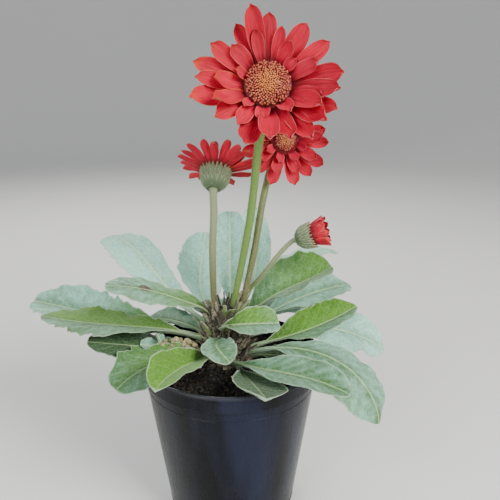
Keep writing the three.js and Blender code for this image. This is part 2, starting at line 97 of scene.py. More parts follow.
# Each leaf leaves the crown at height root, heading az (from +X towards +Y), and has turned by sweep at its
# tip. It is rooted at distance out from the crown's middle, turned by side from the way it heads. Its slope
# goes from rise to fall, with arch added halfway. fold lifts both halves out of the flat, and roll tips the
# blade, its left half up. half is half the blade's width, and point is larger for a tip that is less blunt.
# stalk is the bare share of the leaf's length, and wave how far its edge rises and falls.
LEAF_COLUMNS = "az side sweep rise fall arch length half fold roll point stalk root out wave".split()
LEAVES = {
    "back_left_upright": [155, 0, -25, 5, -20, 45, 140, 18, -10, -10, 0.4, 0.15, 134, 6, 1.2],
    "back_upright_a": [130, 0, -60, 20, 70, -25, 110, 20, 10, 20, 0.4, 0.12, 132, 6, 1],
    "back_upright_b": [92, 0, 0, 70, 42, 0, 91, 15, 22, -8, 0.5, 0.12, 135, 5.5, 1],
    "back_upright_c": [65, 0, 40, 25, 65, -25, 130, 15, 15, -20, 0.4, 0.12, 138, 6.5, 1],
    "left_upper": [185, 0, 10, 30, 5, 5, 88, 17, -4, -8, 0.4, 0.08, 144, 5, 1],
    "left_far": [165, 0, -10, -4, -2, 8, 168, 20, 20, -30, 0.4, 0.2, 127, 7.5, 2],
    "left_long": [180, 0, -5, 25, 12, -15, 134, 22, 5, 0, 0.5, 0.2, 123, 7, 1.6],
    "left_shaded": [188, 0, 0, 6, 10, 0, 95, 18, 2, -8, 0.45, 0.2, 119, 8, 1],
    "front_left_toothed": [210, 0, 15, 15, -30, 12, 86, 23, 5, -5, 0.4, 0.15, 117, 8, 1.6],
    "front_left_bright": [233, 0, 20, 5, -5, 12, 85, 16.5, 30, -10, 0.45, 0.12, 121.5, 8, 1],
    "front_small": [235, -10, 85, 0, -30, 22, 45, 12, 12, 10, 0.45, 0.12, 132, 5.5, 0.8],
    "centre_right_young": [315, -85, 60, 35, -5, -5, 47, 13.5, 18, 25, 0.4, 0.05, 139.5, 12, 0.8],
    "right_upper": [22, 0, -12, 65, 30, -25, 86, 27, 25, 8, 0.4, 0.12, 132, 6.5, 1.2],
    "right_long": [3, 0, 9, 15, 30, -5, 90, 18, 22, 15, 0.7, 0.15, 119, 9, 1.2],
    "front_right_broad": [312, -56, 24, 8, -18, 14, 100, 16, 16, 10, 0.55, 0.1, 116, 12, 0.7],
    "front_right_cupped": [288, 0, -4, 4, 10, 6, 74, 18, 12, -14, 0.5, 0.15, 113, 11, 0.4],
    "right_drooping": [333, 0, -10, 28, -85, 24, 128, 23, -20, 12, 0.65, 0.18, 117, 10, 1.6],
    "right_arching": [20, 0, -12, 9, -40, 5, 122, 21, 8, 30, 0.6, 0.22, 127, 10, 2.2],
    "right_back": [33, 0, 4, 26, -6, -3, 112, 16.5, 12, 15, 0.5, 0.18, 129.5, 7.5, 1.2],
    "right_back_edge": [46, 0, -4, 52, -18, 0, 127, 13, 4, 0, 0.5, 0.18, 133.5, 6.5, 1],
    "right_shaded": [350, 0, 0, 14, -6, 0, 50, 14, 8, 0, 0.5, 0.2, 113.5, 8, 1],
    "back_low_a": [54, 0, 4, 20, -28, 0, 104, 19, 10, 0, 0.5, 0.2, 122, 8, 1.6],
    "back_low_b": [84, 0, 4, 20, -28, 0, 100, 19, 10, 0, 0.5, 0.2, 118, 8, 1.6],
    "back_low_c": [112, 0, 4, 20, -28, 0, 104, 19, 10, 0, 0.5, 0.2, 122, 8, 1.6],
    "back_low_d": [138, 0, 4, 18, -28, 0, 104, 19, 10, 0, 0.5, 0.2, 118, 8, 1.6],
}

# Two young leaves beside the crown that are too small to be solids of their own.
YOUNG_LEAVES = {
    "young_low": [182, 7, 10, 34, 8, 0, 21, 6.2, 14, -20, 0.45, 0.1, 120, 46, 0.4],
    "young_upright": [150, 38, 0, 80, 52, 0, 13, 4.4, 20, 10, 0.45, 0.1, 121.5, 49, 0.3],
}
ALL_LEAVES = {**LEAVES, **YOUNG_LEAVES}

# How each leaf's colour departs from plain green: how much painted light shows through it as yellow-green
# (its left half at the root and at the tip, then its right half), how deep the painted shade is on a leaf
# that lies in shadow, and how thick its waxy bloom is.
LEAF_LOOKS = {
    "back_left_upright": [0, 0, 0, 0, 0, 1],
    "back_upright_a": [0, 0, 0, 0, 0, 1],
    "back_upright_b": [0.05, 0, 0, 0, 0, 0.95],
    "back_upright_c": [0, 0, 0, 0, 0, 0.95],
    "left_upper": [1.1, -0.3, 1.1, -0.2, 0, 0.4],
    "left_far": [1.9, -0.9, 1.9, -0.9, 0.05, 0.65],
    "left_long": [0.7, -0.2, 1.7, 0.6, 0.03, 0.3],
    "left_shaded": [0, 0, 0, 0, 0.75, 0.2],
    "front_left_toothed": [0.5, -0.1, 1.1, 0.2, 0, 0.22],
    "front_left_bright": [1.2, 0.8, 1.2, 0.9, 0, 0.25],
    "front_small": [0.1, 0, 0.05, 0, 0, 0.36],
    "centre_right_young": [1.2, 0.6, 1.0, -0.2, 0, 0.45],
    "right_upper": [0, 0.8, 0, 0.4, 0.05, 0.25],
    "right_long": [1.1, 1.0, 0.7, 0.1, 0, 0.35],
    "front_right_broad": [0.25, 0, 0.25, 0, 0, 0.36],
    "front_right_cupped": [0.3, 0, 0.3, 0, 0.75, 0.2],
    "right_drooping": [0.15, 0.05, 0.1, 0, 0.05, 0.48],
    "right_arching": [0, 0, 0, 0, 0, 0.85],
    "right_back": [0, 0, 0, 0, 0.1, 0.65],
    "right_back_edge": [0.2, 0.1, 0.1, 0, 0, 0.9],
    "right_shaded": [0, 0, 0, 0, 0.9, 0.1],
    "back_low_a": [0, 0, 0, 0, 0.4, 0.5],
    "back_low_b": [0, 0, 0, 0, 0.3, 0.5],
    "back_low_c": [0, 0, 0, 0, 0.4, 0.5],
    "back_low_d": [0, 0, 0, 0, 0.4, 0.5],
    "young_low": [0.2, 0, 0.2, 0, 0, 0.7],
    "young_upright": [0.3, 0, 0.1, 0, 0, 0.7],
}
# The depth of a leaf's teeth and how many it has along each side, where they aren't as on most.
LEAF_TEETH = {
    "front_left_toothed": (3.4, 5), "left_far": (3.2, 11), "left_long": (4.4, 11), "left_upper": (1.3, 8),
    "front_left_bright": (0.5, 6), "front_small": (0.3, 5), "front_right_broad": (0.35, 9),
    "front_right_cupped": (0.3, 6), "centre_right_young": (0.8, 8),
}
LEAF_WIDEST = {"front_right_cupped": 0.8}  # how far along a leaf is widest, where it isn't as on most
# Where a leaf has a withered spot: how far along it, and how many millimetres from its midrib.
LEAF_SPOTS = {"left_upper": (0.69, -1.5)}
LIT_LEAVES = ("left_long", "right_long", "centre_right_young", "front_left_bright")
CUPPED_LEAVES = ("front_right_cupped",)
SHADED_LEAVES = ("left_shaded", "right_shaded", "front_right_cupped")

# A layer of petals is a list of [angle, length, half width], or count of them spread evenly; rise and lift
# are the petals' slopes out of the plate's plane at the root and at the tip.
BLOOMS = {
    "tall": {
        "at": [25, 0, 305],
        "tilt": 22,
        "turn": 0,
        "plate": 15.2,
        "cup": 13.5,
        "cup_depth": 13,
        "disc": 14.2,
        "florets": 330,
        "inset": 2.4,
        "layers": [
            {
                "rise": 22,
                "lift": 30,
                "petals": [
                    [105, 38, 6], [90, 32, 5.5], [75, 25, 4], [55, 32, 6.5], [30, 34, 5.5], [5, 36, 7],
                    [350, 35, 6], [335, 36, 6], [320, 38, 6.5], [305, 36, 6.5], [290, 32, 6.5], [250, 33, 7],
                    [215, 30, 6], [195, 40, 6.5], [180, 35, 5], [165, 36, 5.5], [150, 32, 5.5], [120, 30, 5],
                ],
            },
            {
                "rise": 34,
                "lift": 38,
                "petals": [
                    [270, 34, 6.5], [235, 24, 5], [205, 33, 5.5], [180, 25, 6], [135, 22, 5], [105, 23, 4],
                    [60, 20, 4.5], [20, 23, 5], [330, 30, 6.5], [340, 26, 5],
                ],
            },
            {
                "rise": 54,
                "lift": 30,
                "petals": [[305, 16, 5], [260, 14, 4.5], [225, 12, 3.5], [40, 12, 3.5], [160, 12, 3.5]],
            },
        ],
    },
    "second": {
        "at": [38, 38, 267.5],
        "tilt": 6,
        "turn": 8,
        "plate": 10.4,
        "cup": 10,
        "cup_depth": 11,
        "disc": 7.2,
        "florets": 90,
        "inset": 2,
        "layers": [
            {"rise": 12, "lift": 18, "count": 14, "length": 23.2, "half": 4.7, "start": 19},
            {"rise": 32, "lift": 28, "count": 9, "length": 18.5, "half": 4.2, "start": 8},
            {"rise": 56, "lift": 38, "count": 8, "length": 10.5, "half": 3.2, "start": 26},
        ],
    },
    "half_open": {
        "at": [-10, 24, 247],
        "tilt": 48,
        "turn": 173,
        "plate": 9.8,
        "cup": 10.4,
        "cup_depth": 14,
        "disc": 8.2,
        "florets": 90,
        "inset": 1,
        "layers": [
            {"rise": 22, "lift": 12, "count": 19, "length": 20.5, "half": 3, "start": 0},
            {"rise": 46, "lift": 34, "count": 13, "length": 16, "half": 2.7, "start": 9},
        ],
    },
    "bud": {
        "at": [57.5, 20.5, 202.5],
        "tilt": 20,
        "turn": 84,
        "plate": 8,
        "cup": 8.8,
        "cup_depth": 11.5,
        "inset": 1,
        "disc": 0,
        "florets": 0,
        "layers": [
            {"rise": 70, "lift": 80, "count": 12, "length": 10.4, "half": 2.8, "start": 0},
            {"rise": 80, "lift": 88, "count": 9, "length": 11, "half": 2.6, "start": 20},
        ],
    },
}
CLEARANCE = 0.35  # between a piece and what carries it
PLATE_DEPTH = 3.6
PETAL_STAGGER = 4  # how many degrees every other petal stands out of its layer's slope
CUP_HAIRS = 900  # on each cup
PALE_BACKS = {"bud": 1.1, "half_open": 0.5}  # how pale the petals' backs are, where it isn't as on most
ROSY_LAYERS = (0.1, 0.3, 0.65)  # how rosy the petals are, from the outer layer in
GOLDEN_ANGLE = 137.508
TALL_DISC = 14.5  # the disc radius that the florets' lengths are given for

STEMS = {
    "tall": {
        "radius": 2.65,
        "through": [
            [1, 10, 142], [2, 10, 152], [10, 12, 194], [14.5, 13.5, 220], [20, 17, 268],
            [23, 19, 284], [24.5, 18, 294],
        ],
    },
    "second": {
        "radius": 2.3,
        "through": [
            [5.5, 10.5, 138], [9, 13, 155], [17, 17, 192], [22.5, 28, 223], [28.5, 43, 246],
            [33, 51.5, 257], [35.5, 53.5, 263.5],
        ],
    },
    "half_open": {
        "radius": 2.4,
        "through": [[-10.5, 13, 142], [-12, 13.5, 152], [-12.5, 12.5, 194], [-11, 11, 222]],
    },
    "bud": {
        "radius": 1.6,
        "through": [[3, 13.5, 142], [8.5, 19.5, 155], [24.5, 22.5, 173], [33.5, 22, 186]],
    },
}

CAMERA_PLACE = (0.0139, -0.383, 0.317)
CAMERA_PITCH = 72.7  # degrees, 90 being level
CAMERA_LENS = 42.3

# ---- settings ----


def length(name, about, default):
    return FloatProperty(name=name, description=about, default=default, min=0.0, precision=4, unit="LENGTH")


def share(name, about, default):
    return FloatProperty(name=name, description=about, default=default, min=0.0, soft_max=2.0)


def watts(name, about, default):
    return FloatProperty(name=name, description=about, default=default, min=0.0, unit="POWER")


def number(name, about, default):
    return IntProperty(name=name, description=about, default=default, min=0)


def colour(name, about, default):
    return FloatVectorProperty(
        name=name, description=about, default=default, size=3, min=0.0, max=1.0, subtype="COLOR"
    )


class PotSettings(bpy.types.PropertyGroup):
    height: length("Height", "From the table to the rim", POT_CORNER.z)
    rim: length("Rim radius", "Outside of the collar at the rim", POT_CORNER.x)
    collar: length("Collar height", "Height of the collar under the rim", 0.012)
    step: length("Collar step", "How far the collar stands out over the wall", 0.0025)
    shoulder: length("Shoulder radius", "Radius of the wall just under the collar", 0.0615)
    base: length("Base radius", "Radius of the wall at the table", 0.046)
    wall: length("Wall", "Thickness of the wall", 0.0016)
    plastic: colour("Plastic", "Colour of the moulded plastic", (0.0018, 0.0019, 0.0029))
    dust: colour("Dust", "Colour of the dried dirt on the plastic", (0.045, 0.043, 0.042))


class CompostSettings(bpy.types.PropertyGroup):
    level: length("Level", "Height of the compost's surface", 0.1085)
    lumps: length("Lumps", "How far the surface rises and falls", 0.0022)
    crumbs: number("Crumbs", "Loose crumbs on the surface", 2400)
    fibres: number("Fibres", "Dry fibres on the surface", 420)
    dark: colour("Damp peat", "Colour of the damp compost", (0.006, 0.0045, 0.0036))
    light: colour("Dry peat", "Colour of the dry crumbs", (0.090, 0.076, 0.064))


class CrownSettings(bpy.types.PropertyGroup):
    hairs: number("Hairs", "Woolly hairs on the crown", 6500)
    hair: length("Hair length", "Longest hair of the crown", 0.0048)
    litter: number("Litter", "Dry bits lodged on the crown", 620)
    husks: number("Husks", "Dried knobs in the hollow of the low left leaf", 110)
    bark: colour("Bark", "Colour of the crown", (0.018, 0.014, 0.009))
    wool: colour("Wool", "Colour of the crown's hairs", (0.42, 0.375, 0.26))
    husk: colour("Husk", "Colour of the dried knobs", (0.500, 0.460, 0.240))


class LeafSettings(bpy.types.PropertyGroup):
    blade: length("Blade", "Thickness of a leaf at its edge", 0.0007)
    midrib: length("Midrib", "Thickness of a leaf along its middle", 0.0017)
    teeth: share("Teeth", "Depth of the teeth, as a share of half the width", 0.06)
    quilt: length("Quilting", "Depth of the grooves over the side veins", 0.00038)
    fuzz: number("Margin hairs", "Hairs along each centimetre of a leaf's edge", 34)
    upper: colour("Upper side", "Green of the upper side", (0.048, 0.150, 0.034))
    bloom: colour("Waxy bloom", "Pale blue-green of the waxy skin", (0.450, 0.850, 0.710))
    # painted light: the yellow-green of light showing through a leaf
    lit: colour("Light through", "Yellow-green where light shows through", (0.078, 0.215, 0.003))
    # painted shade: the deep green laid over leaves that lie in shadow
    shade: colour("Shaded", "Deep green of a leaf grown in shade", (0.012, 0.040, 0.010))
    under: colour("Underside", "Woolly underside", (0.160, 0.255, 0.140))
    vein: colour("Veins", "Pale green of the midrib and the edge", (0.580, 0.760, 0.380))
    wool: colour("Edge", "Grey-white of the woolly edge", (0.440, 0.560, 0.400))


class StemSettings(bpy.types.PropertyGroup):
    fuzz: number("Hairs", "Hairs on each centimetre of a stem", 250)
    hair: length("Hair length", "Longest hair of a stem", 0.0016)
    green: colour("Green", "Colour of a sappy stem", (0.100, 0.200, 0.018))
    pale: colour("Pale", "Colour of a stem near its bloom", (0.225, 0.265, 0.130))
    brown: colour("Brown", "Colour of a stem near its foot", (0.125, 0.115, 0.034))
    hairs: colour("Hair colour", "Colour of the fine white hairs", (0.480, 0.540, 0.380))


class BloomSettings(bpy.types.PropertyGroup):
    petal: length("Petal", "Thickness of a petal", 0.0006)
    furrow: length("Furrow", "Depth of the two furrows along a petal", 0.00060)
    red: colour("Red", "Colour of a petal's face", (0.630, 0.0005, 0.0270))
    # each petal's own random darker tone, and painted shade at its root
    deep_red_and_root_shade: colour("Deep red", "Colour of a petal at its root", (0.100, 0.0002, 0.0030))
    pink: colour("Rose", "Bloom on the faces of the small inner petals", (0.600, 0.012, 0.055))
    # painted backlight: the warm glow along a petal's thin edge and tip
    painted_backlight: colour("Warm edge", "Colour of a petal's thin edge and tip", (0.640, 0.060, 0.012))
    back: colour("Back", "Colour of a petal's back", (0.320, 0.012, 0.024))
    streak: colour("Streaks", "Pale streaks on a petal's back", (0.620, 0.250, 0.240))
    heart: colour("Heart", "Colour of the young florets in the middle", (0.500, 0.140, 0.016))
    floret: colour("Florets", "Colour of the outer florets", (0.300, 0.030, 0.020))
    pollen: colour("Pollen", "Colour of the florets' tips", (0.600, 0.200, 0.080))
    scale: colour("Scales", "Colour of the green scales under a bloom", (0.105, 0.165, 0.072))


class StageSettings(bpy.types.PropertyGroup):
    floor: length("Floor radius", "Radius of the flat floor", 1.6)
    ground: colour("Floor", "Colour of the floor and backdrop", (0.78, 0.78, 0.77))
    key: watts("Key light", "Strength of the main light", 34.5)
    fill: watts("Fill light", "Strength of the fill light", 16.0)
    rim: watts("Back light", "Strength of the light from behind", 9.0)
    sky: share("Sky", "Strength of the light from all round", 0.27)


class GerberaSettings(bpy.types.PropertyGroup):
    pot: PointerProperty(type=PotSettings)
    compost: PointerProperty(type=CompostSettings)
    crown: PointerProperty(type=CrownSettings)
    leaf: PointerProperty(type=LeafSettings)
    stem: PointerProperty(type=StemSettings)
    bloom: PointerProperty(type=BloomSettings)
    stage: PointerProperty(type=StageSettings)


# ---- numbers ----


def lerp(a, b, t):
    return a + (b - a) * t


def smooth(x):
    x = np.clip(x, 0.0, 1.0)
    return x * x * (3 - 2 * x)


def ridge(x, width):
    """1 at x = 0, falling off to either side over about width."""
    return np.exp(-((x / width) ** 2))


def unit(v):
    return v / np.maximum(np.linalg.norm(v, axis=-1, keepdims=True), 1e-9)


def dimmed(tint, share_left):
    """A colour made darker, or lighter where the share is over 1."""
    return tuple(c * share_left for c in tint)


def around(axis):
    """Two directions square to each axis and to each other."""
    helper = np.where(np.abs(axis[..., 2:]) < 0.9, [0.0, 0.0, 1.0], [1.0, 0.0, 0.0])
    first = unit(np.cross(axis, helper))
    return first, np.cross(axis, first)


def through(points, count):
    """A smooth curve through the points, as count points spaced evenly along it."""
    points = np.array(points, float)
    ends = [2 * points[0] - points[1]], [2 * points[-1] - points[-2]]
    p = np.concatenate([ends[0], points, ends[1]])
    curve = []
    for i in range(len(points) - 1):
        a, b, c, d = p[i : i + 4]
        before, here, after = (np.linalg.norm(v) ** 0.5 for v in (b - a, c - b, d - c))
        leave = ((b - a) / before - (c - a) / (before + here) + (c - b) / here) * here
        reach = ((c - b) / here - (d - b) / (here + after) + (d - c) / after) * here
        s = np.linspace(0, 1, 60, endpoint=i == len(points) - 2)[:, None]
        cubic = (2 * b - 2 * c + leave + reach) * s**3 + (3 * c - 3 * b - 2 * leave - reach) * s**2
        curve.append(cubic + leave * s + b)
    curve = np.concatenate(curve)
    run = np.concatenate([[0], np.cumsum(np.linalg.norm(np.diff(curve, axis=0), axis=1))])
    even = np.linspace(0, run[-1], count)
    return np.stack([np.interp(even, run, curve[:, k]) for k in range(3)], axis=1)


# ---- meshes ----


def pick(obj, *others):
    """Selects these objects and no more, the first one active."""
    for chosen in bpy.context.selected_objects:
        chosen.select_set(False)
    for chosen in (*others, obj):
        chosen.select_set(True)
    bpy.context.view_layer.objects.active = obj


def edit(obj):
    """Selects one object and all of its mesh, in edit mode."""
    pick(obj)
    bpy.ops.object.mode_set(mode="EDIT")
    bpy.ops.mesh.select_all(action="SELECT")


def done():
    bpy.ops.object.mode_set(mode="OBJECT")


def closed(merge=True):
    """Merges the doubles of the mesh in edit mode, points its faces outwards and leaves edit mode."""
    bpy.ops.mesh.select_all(action="SELECT")
    if merge:
        bpy.ops.mesh.remove_doubles(threshold=1e-6)
    bpy.ops.mesh.normals_make_consistent(inside=False)
    done()


def apply(obj, kind, **settings):
    """Puts a modifier on an object and applies it."""
    pick(obj)
    modifier = obj.modifiers.new(kind.title(), kind)
    for key, value in settings.items():
        setattr(modifier, key, value)
    bpy.ops.object.modifier_apply(modifier=modifier.name)


def soften(obj, angle=50):
    """Shades an object smooth, apart from edges sharper than the angle."""
    pick(obj)
    bpy.ops.object.shade_smooth_by_angle(angle=math.radians(angle))


def keep(obj, name, slot, *materials, replaces=()):
    """Names a finished piece and hands it to the frame."""
    obj.name = name
    obj.data.name = name
    obj.data.materials.clear()
    for material in materials:
        obj.data.materials.append(material)
    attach(obj, BODY)
    if replaces:
        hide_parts(*replaces)
    return obj


def linked(mesh):
    obj = bpy.data.objects.new(mesh.name, mesh)
    bpy.context.scene.collection.objects.link(obj)
    return obj


def read(items, name, width):
    values = np.zeros(len(items) * width)
    items.foreach_get(name, values)
    return values.reshape(-1, width)


def mark(mesh, name, values):
    """Gives each point of a mesh a number that the finishes can read."""
    attribute = mesh.attributes.new(name, "FLOAT", "POINT")
    attribute.data.foreach_set("value", np.ascontiguousarray(values, np.float32).ravel())


def turned(name, profile, sides):
    """Spins a profile of (radius, height) pairs, in millimetres, round +Z into a closed solid."""
    mesh = bpy.data.meshes.new(name)
    points = [(r * MM, 0, z * MM) for r, z in profile]
    mesh.from_pydata(points, [(i, i + 1) for i in range(len(points) - 1)], [])
    obj = linked(mesh)
    edit(obj)
    bpy.ops.mesh.spin(steps=sides, angle=math.tau, center=(0, 0, 0), axis=(0, 0, 1))
    closed()
    return obj


def displaced(obj, move):
    """Moves an object's points, in millimetres, by move(points, normals)."""
    points = read(obj.data.vertices, "co", 3) / MM
    normals = read(obj.data.vertices, "normal", 3)
    obj.data.vertices.foreach_set("co", (move(points, normals) * MM).ravel())
    obj.data.update()


def rough(points, scale, seed=0.0):
    """Smooth noise from about -1 to 1 at each point."""
    return np.array([noise.noise(Vector(p * scale) + Vector((seed, 0, 0))) for p in points])


class Cast:
    """A small mesh that is modelled once and copied."""

    def __init__(self, obj):
        mesh = obj.data
        self.points = read(mesh.vertices, "co", 3)
        faces = [(tuple(f.vertices), f.material_index) for f in mesh.polygons]
        self.faces = {}
        for size in sorted({len(corners) for corners, _ in faces}):
            alike = [f for f in faces if len(f[0]) == size]
            self.faces[size] = np.array([f[0] for f in alike]), np.array([f[1] for f in alike])
        bpy.data.objects.remove(obj)

    def each(self, values):
        """One value for each copy, given to all of its points."""
        return np.repeat(values[:, None], len(self.points), axis=1)

    def gather(self, name, places, marks=None, angle=50):
        """One object of many copies, its points given as copies x points x 3, in millimetres."""
        copies, count = places.shape[:2]
        faces, finishes = [], []
        shift = count * np.arange(copies)[:, None, None]
        for size, (corners, finish) in self.faces.items():
            faces += (corners[None] + shift).reshape(-1, size).tolist()
            finishes += np.tile(finish, copies).tolist()
        mesh = bpy.data.meshes.new(name)
        mesh.from_pydata((places * MM).reshape(-1, 3).tolist(), [], faces)
        obj = linked(mesh)
        for _ in range(max(finishes) + 1):
            mesh.materials.append(None)
        mesh.polygons.foreach_set("material_index", finishes)
        for key, values in (marks or {}).items():
            mark(mesh, key, values)
        soften(obj, angle)
        return obj


class Sheet(Cast):
    """A thin closed sheet, modelled flat. across runs from -1 to 1, along from 0 to 1, and side is 0 on the
    lower face and 1 on the upper one."""

    def __init__(self, rows, columns):
        bpy.ops.mesh.primitive_grid_add(x_subdivisions=columns, y_subdivisions=rows, size=2)
        obj = bpy.context.object
        edit(obj)
        bpy.ops.mesh.extrude_region_move(TRANSFORM_OT_translate={"value": (0, 0, 1)})
        closed(merge=False)
        obj.data.materials.append(None)
        obj.data.materials.append(None)
        for face in obj.data.polygons:
            face.material_index = int(face.center.z < 0.25)
        super().__init__(obj)
        self.across = -self.points[:, 0]
        self.along = (self.points[:, 1] + 1) / 2
        self.side = self.points[:, 2]


def spike():
    """The cast of a hair: a three-sided spike, 1 long and 1 in radius."""
    bpy.ops.mesh.primitive_cone_add(vertices=3, radius1=1, radius2=0, depth=1, location=(0, 0, 0.5))
    bpy.ops.object.transform_apply(location=True)
    return Cast(bpy.context.object)


def hairs(name, roots, ways, thickness, finish, slot):
    """Straight tapered hairs from their roots, each as long as its way."""
    cast = spike()
    first, second = around(unit(ways))
    places = (
        roots[:, None]
        + cast.points[None, :, 0:1] * first[:, None] * thickness
        + cast.points[None, :, 1:2] * second[:, None] * thickness
        + cast.points[None, :, 2:3] * ways[:, None]
    )
    return keep(cast.gather(name, places), name, slot, finish)


def all_hairs(name, tufts, thickness, finish, slot):
    """The hairs of several pieces, each given as its roots and ways."""
    roots, ways = (np.concatenate(parts) for parts in zip(*tufts))
    return hairs(name, roots, ways, thickness, finish, slot)


def outward(angle):
    """Level directions at these angles from +X."""
    return np.stack([np.cos(angle), np.sin(angle), np.zeros_like(angle)], -1)


def upward(heights):
    return np.outer(heights, [0, 0, 1])


def turns(draw, count):
    """Random rotations, as count matrices."""
    q = unit(draw.normal(size=(count, 4)))
    w, x, y, z = q.T
    return np.stack(
        [
            [1 - 2 * (y * y + z * z), 2 * (x * y - w * z), 2 * (x * z + w * y)],
            [2 * (x * y + w * z), 1 - 2 * (x * x + z * z), 2 * (y * z - w * x)],
            [2 * (x * z - w * y), 2 * (y * z + w * x), 1 - 2 * (x * x + y * y)],
        ]
    ).transpose(2, 0, 1)


# ---- finishes ----


class Finish:
    """A material, built node by node. Its patterns read object coordinates and the mesh's own marks."""

    def __init__(self, name, roughness, **sockets):
        self.material = bpy.data.materials.new(name)
        self.material.use_nodes = True
        self.tree = self.material.node_tree
        self.shader = self.tree.nodes["Principled BSDF"]
        self.shader.inputs["Roughness"].default_value = roughness
        for key, value in sockets.items():
            self.put(self.shader.inputs[key.replace("_", " ")], value)
        self.coordinates = self.tree.nodes.new("ShaderNodeTexCoord").outputs["Object"]

    def put(self, socket, value):
        if isinstance(value, bpy.types.NodeSocket):
            self.tree.links.new(value, socket)
        elif socket.type == "RGBA" and len(value) == 3:
            socket.default_value = (*value, 1.0)
        else:
            socket.default_value = value

    def node(self, kind, values, **settings):
        made = self.tree.nodes.new("ShaderNode" + kind)
        for key, value in settings.items():
            setattr(made, key, value)
        for key, value in values.items():
            self.put(made.inputs[key], value)
        return made

    def mark(self, name):
        return self.node("Attribute", {}, attribute_name=name).outputs["Fac"]

    def stretched(self, scale):
        values = {0: self.coordinates, 1: scale}
        return self.node("VectorMath", values, operation="MULTIPLY").outputs[0]

    def noise(self, scale, detail=3.0, roughness=0.55, vector=None):
        values = {"Vector": vector or self.coordinates, "Scale": scale, "Detail": detail}
        return self.node("TexNoise", {**values, "Roughness": roughness}).outputs["Fac"]

    def cells(self, scale, feature="DISTANCE_TO_EDGE", vector=None):
        values = {"Vector": vector or self.coordinates, "Scale": scale}
        return self.node("TexVoronoi", values, feature=feature).outputs[0]

    def span(self, value, low, high):
        """0 at low and 1 at high, and smooth in between."""
        values = {"Value": value, "From Min": low, "From Max": high}
        return self.node("MapRange", values, interpolation_type="SMOOTHSTEP").outputs[0]

    def math(self, operation, a, b):
        return self.node("Math", {0: a, 1: b}, operation=operation).outputs[0]

    def times(self, a, b):
        return self.math("MULTIPLY", a, b)

    def plus(self, a, b):
        return self.math("ADD", a, b)

    def swing(self, pattern, reach):
        """A pattern from 0 to 1 made to swing evenly round 0."""
        return self.times(self.math("SUBTRACT", pattern, 0.5), reach)

    def mix(self, factor, a, b):
        made = self.node("Mix", {0: factor, 6: a, 7: b}, data_type="RGBA")
        return made.outputs[2]

    def lets_light_in(self, weight, colours, reach):
        """Lets light into the skin, its red, green and blue each as far as that share of reach."""
        self.put(self.shader.inputs["Subsurface Weight"], weight)
        self.put(self.shader.inputs["Subsurface Radius"], colours)
        self.put(self.shader.inputs["Subsurface Scale"], reach)

    def finish(self, base, height=None, depth=0.001, strength=0.5, roughness=None):
        self.put(self.shader.inputs["Base Color"], base)
        if roughness is not None:
            self.put(self.shader.inputs["Roughness"], roughness)
        if height is not None:
            values = {"Strength": strength, "Distance": depth, "Height": height}
            self.put(self.shader.inputs["Normal"], self.node("Bump", values).outputs[0])
        return self.material


def plastic_finish(pot):
    f = Finish("moulded_plastic", 0.34, Specular_IOR_Level=0.15)
    blotches = f.noise(38, 5)
    streaks = f.noise(1, 3, vector=f.stretched((420, 420, 26)))
    specks = f.span(f.cells(430, "F1"), 0.16, 0.08)
    dusty = f.times(f.span(blotches, 0.5, 0.78), f.span(f.noise(900, 2), 0.35, 0.7))
    marks = f.times(specks, f.span(f.noise(70), 0.5, 0.62))
    dirt = f.math("MAXIMUM", f.times(dusty, 0.2), f.times(marks, 0.4))
    # painted reflections: soft bluish vertical bands laid over the plastic's own near-black colour
    painted_reflection_bands = f.span(f.noise(1, 1, vector=f.stretched((50, 50, 6))), 0.36, 0.72)
    painted_reflections = f.mix(painted_reflection_bands, pot.plastic, (0.011, 0.014, 0.030))
    level = f.node("SeparateXYZ", {0: f.coordinates}).outputs[2]
    # painted highlight: a pale line along the lip
    lip_highlight = f.span(level, pot.height - 0.0026, pot.height - 0.0004)
    painted_reflections = f.mix(f.times(lip_highlight, 0.6), painted_reflections, (0.055, 0.056, 0.062))
    base = f.mix(dirt, painted_reflections, pot.dust)
    gloss = f.plus(f.times(streaks, 0.2), f.times(dirt, 0.4))
    height = f.plus(f.noise(9), f.times(streaks, 0.06))
    return f.finish(base, height, 0.004, 0.25, f.plus(gloss, 0.17))


def compost_finish(compost):
    f = Finish("peat", 0.95)
    grain = f.noise(520, 5)
    dry = f.span(f.noise(90, 4), 0.5, 0.72)
    base = f.mix(f.times(dry, f.span(grain, 0.4, 0.7)), compost.dark, compost.light)
    return f.finish(base, grain, 0.0015, 0.9)


def crumb_finish(name, dark, light):
    f = Finish(name, 0.92)
    grain = f.noise(1300, 3)
    base = f.mix(f.times(f.mark("tone"), f.span(grain, 0.2, 0.7)), dark, light)
    return f.finish(base, grain, 0.0006, 0.8)


def hair_finish(name, tint):
    f = Finish(name, 0.6)
    base = f.mix(f.noise(160), tint, dimmed(tint, 0.75))
    return f.finish(base)


def leaf_vein_patterns(f):
    """Masks of the midrib, side veins and net between them, the net's relief, and its warped coordinates."""
    uneven = f.node("TexNoise", {"Vector": f.coordinates, "Scale": 120.0}).outputs["Color"]
    warp = f.node("VectorMath", {0: uneven, 1: (0.0035,) * 3}, operation="MULTIPLY").outputs[0]
    bent = f.node("VectorMath", {0: f.coordinates, 1: warp}, operation="ADD").outputs[0]
    rib = f.mark("rib")
    midrib = f.span(f.plus(rib, f.times(f.mark("along"), 0.6)), 1.45, 0.55)
    phase = f.math("PINGPONG", f.mark("vein"), 0.5)
    veins = f.times(f.span(phase, 0.075, 0.015), f.span(f.mark("edge"), 0.8, 4.0))
    net = f.cells(330, vector=bent)
    return midrib, veins, f.span(net, 0.09, 0.015), net, bent


